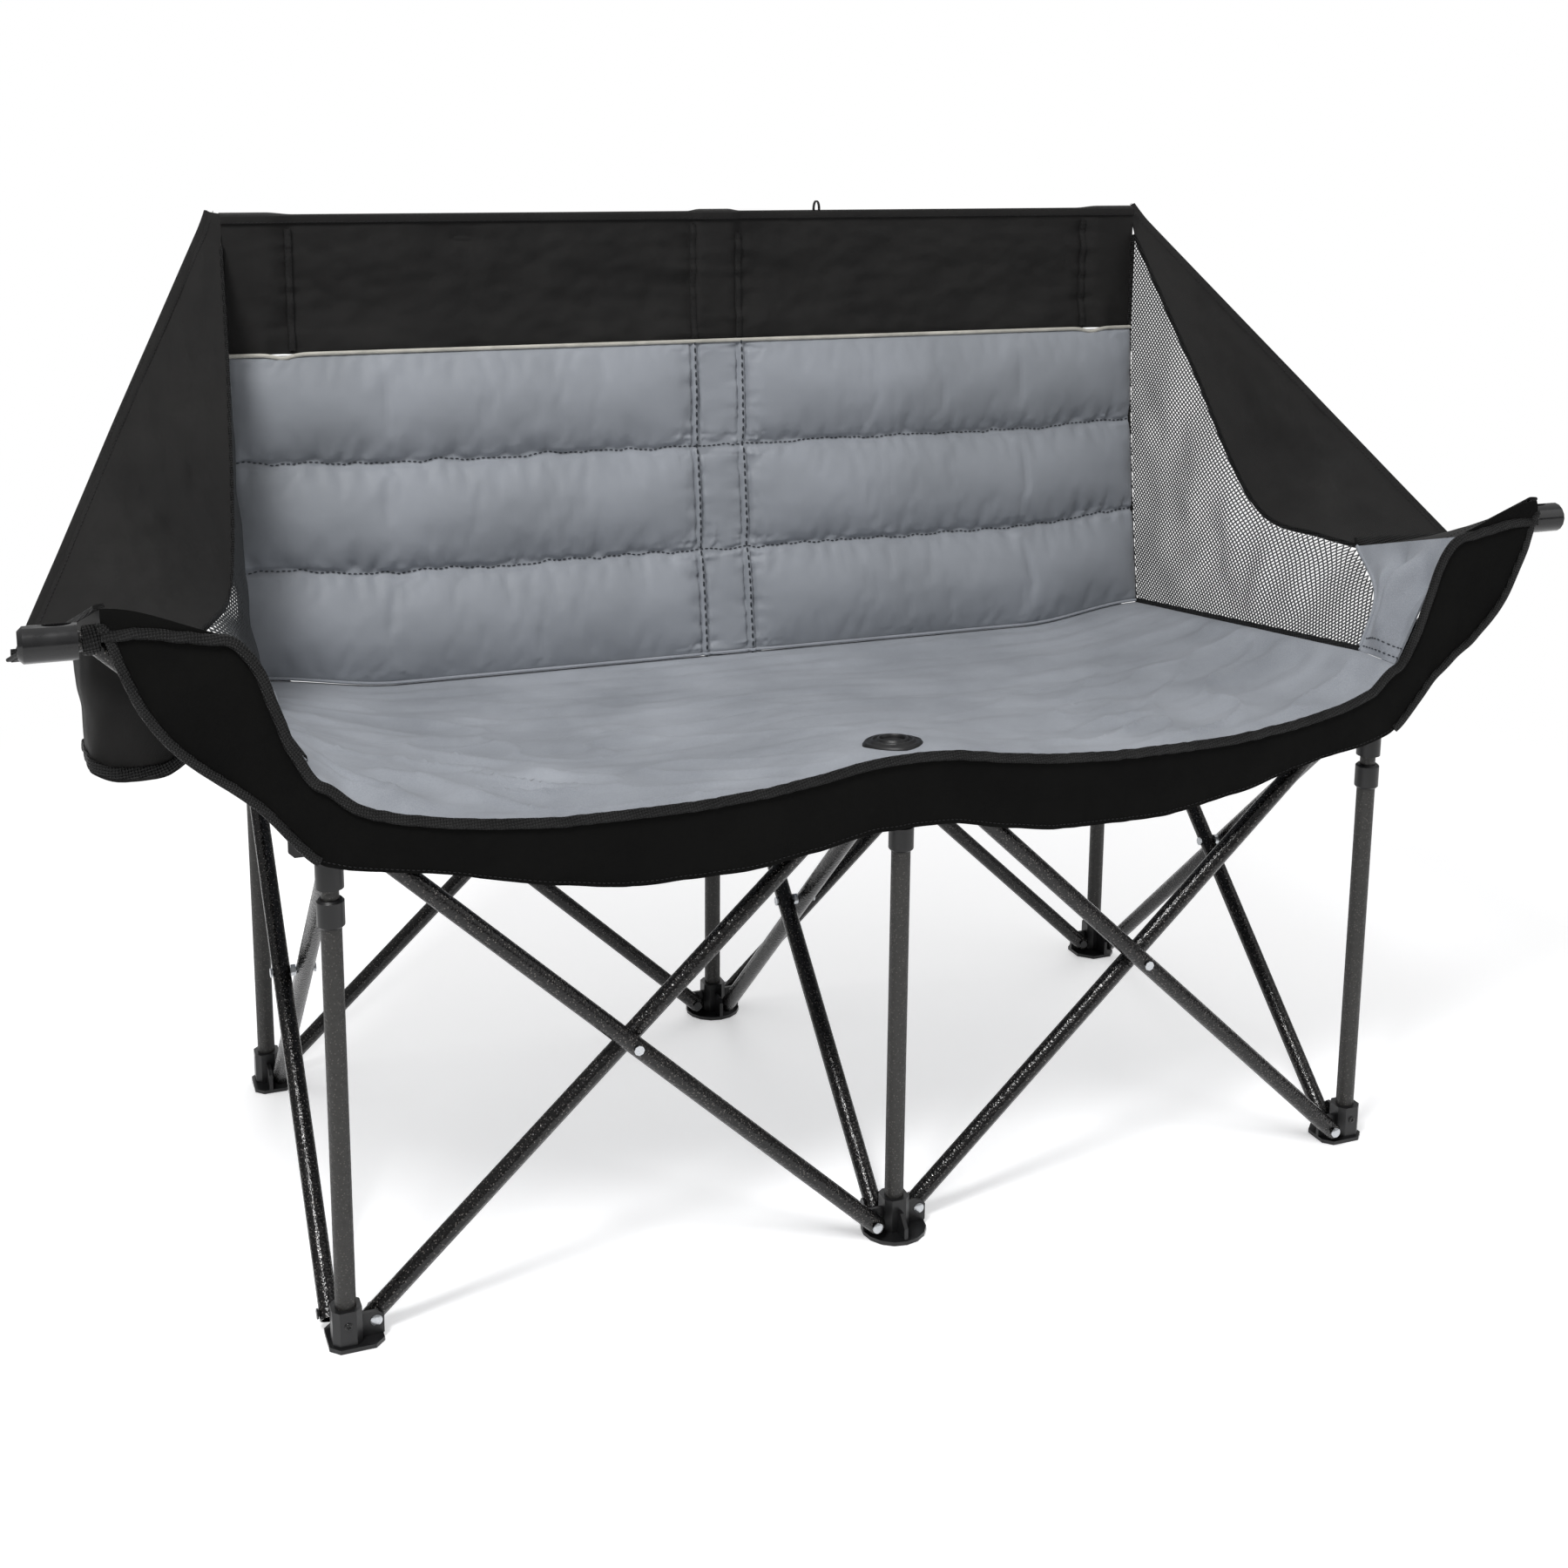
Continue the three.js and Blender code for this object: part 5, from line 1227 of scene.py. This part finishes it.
ride(switchPatch, "seat front", seatPlan)
print("switch made")

# stitches
for number, ((body, thread), rows) in enumerate(stitchRows.items()):
    verts, edges = [], []
    for line in rows["lines"]:
        edges += [(len(verts) + i, len(verts) + i + 1) for i in range(len(line) - 1)]
        verts += [tuple(p) for p in line]
    pitch, length, thickness = stitchSize[thread.name]
    piece = grown(f"stitches.{number}", verts, edges, stitches,
                  {"Pitch": pitch, "Length": length, "Thickness": thickness, "Thread": thread})
    ride(piece, body, rows["plan"])
print("stitches made")


# studio

# camera at the photograph's viewing angle, with the focal length and centre in the picture's 1800 pixels
view = {"place": (-0.7867, -1.9445, 1.0898), "yaw": 21.6048, "pitch": 11.2355, "roll": 0.4742, "pixels": 1800,
        "focalPixels": 2304.3, "centrePixelY": 600, "sensor": 36}
camera = bpy.data.objects.new("camera", bpy.data.cameras.new("camera"))
scene.collection.objects.link(camera)
scene.camera = camera
camera.data.sensor_width = view["sensor"]
camera.data.lens = view["focalPixels"] * view["sensor"] / view["pixels"]
camera.data.shift_y = (view["centrePixelY"] - view["pixels"] / 2) / view["pixels"]
camera.data.clip_end = 60
camera.location = view["place"]
yaw, pitch, roll = (math.radians(view[k]) for k in ("yaw", "pitch", "roll"))
forward = Vector((math.sin(yaw) * math.cos(pitch), math.cos(yaw) * math.cos(pitch), -math.sin(pitch)))
level = Vector((math.cos(yaw), -math.sin(yaw), 0))
upright = level.cross(forward)
right = level * math.cos(roll) + upright * math.sin(roll)
up = upright * math.cos(roll) - level * math.sin(roll)
camera.rotation_euler = Matrix((right, up, -forward)).transposed().to_euler()

# floor: pale paper that keeps the shadows near the loveseat and runs into the white of the backdrop
paper = {"half": 14, "z": -0.0006, "colour": "#efeff0", "fadeFrom": 0.7, "fadeTo": 2.0, "lift": 0.42}
corners = [(x * paper["half"], y * paper["half"], paper["z"])
           for x, y in ((-1, -1), (1, -1), (1, 1), (-1, 1))]
floorMesh = bpy.data.meshes.new("floor")
floorMesh.from_pydata(corners, [], [(0, 1, 2, 3)])
floor = bpy.data.objects.new("floor", floorMesh)
scene.collection.objects.link(floor)
floorPaper, tree, shader = newMaterial("paleStudioPaper", {
    "Base Color": linearColour(paper["colour"]), "Roughness": 0.9, "Specular IOR Level": 0.1})
floorMesh.materials.append(floorPaper)
place = addNode(tree, "ShaderNodeTexCoord").outputs["Object"]
away = addNode(tree, "ShaderNodeVectorMath", {0: place}, operation="LENGTH")
fade = addNode(tree, "ShaderNodeMapRange", {
    "Value": away.outputs["Value"], "From Min": paper["fadeFrom"], "From Max": paper["fadeTo"]},
    interpolation_type="SMOOTHSTEP")
paths = addNode(tree, "ShaderNodeLightPath")
seen = addNode(tree, "ShaderNodeMath", {0: paths.outputs["Is Camera Ray"], 1: paths.outputs["Is Glossy Ray"]},
               operation="MAXIMUM")
share = addNode(tree, "ShaderNodeMath", {0: fade.outputs["Result"], 1: seen.outputs[0]}, operation="MULTIPLY")
raised = addNode(tree, "ShaderNodeMath", {0: seen.outputs[0], 1: paper["lift"]}, operation="MULTIPLY")
glow = addNode(tree, "ShaderNodeEmission", {"Color": (1, 1, 1, 1), "Strength": 1.0})
lift = addNode(tree, "ShaderNodeEmission", {"Color": (1, 1, 1, 1), "Strength": raised.outputs[0]})
near = addNode(tree, "ShaderNodeAddShader", {0: shader.outputs[0], 1: lift.outputs[0]})
blend = addNode(tree, "ShaderNodeMixShader", {0: share.outputs[0], 1: near.outputs[0], 2: glow.outputs[0]})
tree.links.new(blend.outputs[0], tree.nodes["Material Output"].inputs["Surface"])
floor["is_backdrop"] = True

# light: a soft sky, brighter overhead, that the camera sees as plain white, and three large lamps
skyLight = {"low": 0.12, "high": 0.7}
world = bpy.data.worlds.new("studio")
scene.world = world
world.use_nodes = True
sky = world.node_tree
ambient = sky.nodes["Background"]
incoming = addNode(sky, "ShaderNodeNewGeometry").outputs["Incoming"]
height = addNode(sky, "ShaderNodeSeparateXYZ", {"Vector": incoming}).outputs["Z"]
overhead = addNode(sky, "ShaderNodeMapRange", {
    "Value": height, "From Min": 0.1, "From Max": -1.0, "To Min": skyLight["low"],
    "To Max": skyLight["high"]})
sky.links.new(overhead.outputs["Result"], ambient.inputs["Strength"])
paths = addNode(sky, "ShaderNodeLightPath")
white = addNode(sky, "ShaderNodeBackground", {"Color": (1, 1, 1, 1), "Strength": 1.0})
blendSky = addNode(sky, "ShaderNodeMixShader", {
    0: paths.outputs["Is Camera Ray"], 1: ambient.outputs[0], 2: white.outputs[0]})
ambient.inputs["Color"].default_value = (1, 1, 1, 1)
sky.links.new(blendSky.outputs[0], sky.nodes["World Output"].inputs["Surface"])

lamps = {"key": ((-1.7, -1.7, 3.5), 0.9, 94), "fill": ((2.8, -2.2, 2.2), 2.4, 15),
         "back": ((0.6, 3.0, 2.9), 2.6, 24)}  # place, size and power of each
for name, (spot, size, power) in lamps.items():
    lamp = bpy.data.lights.new(name, "AREA")
    lamp.size = size
    lamp.energy = power
    holder = bpy.data.objects.new(name, lamp)
    scene.collection.objects.link(holder)
    holder.location = spot
    holder.rotation_euler = (Vector((0, 0, 0.5)) - Vector(spot)).to_track_quat("-Z", "Y").to_euler()

scene.view_settings.view_transform = "Standard"
print("studio made")

low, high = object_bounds()
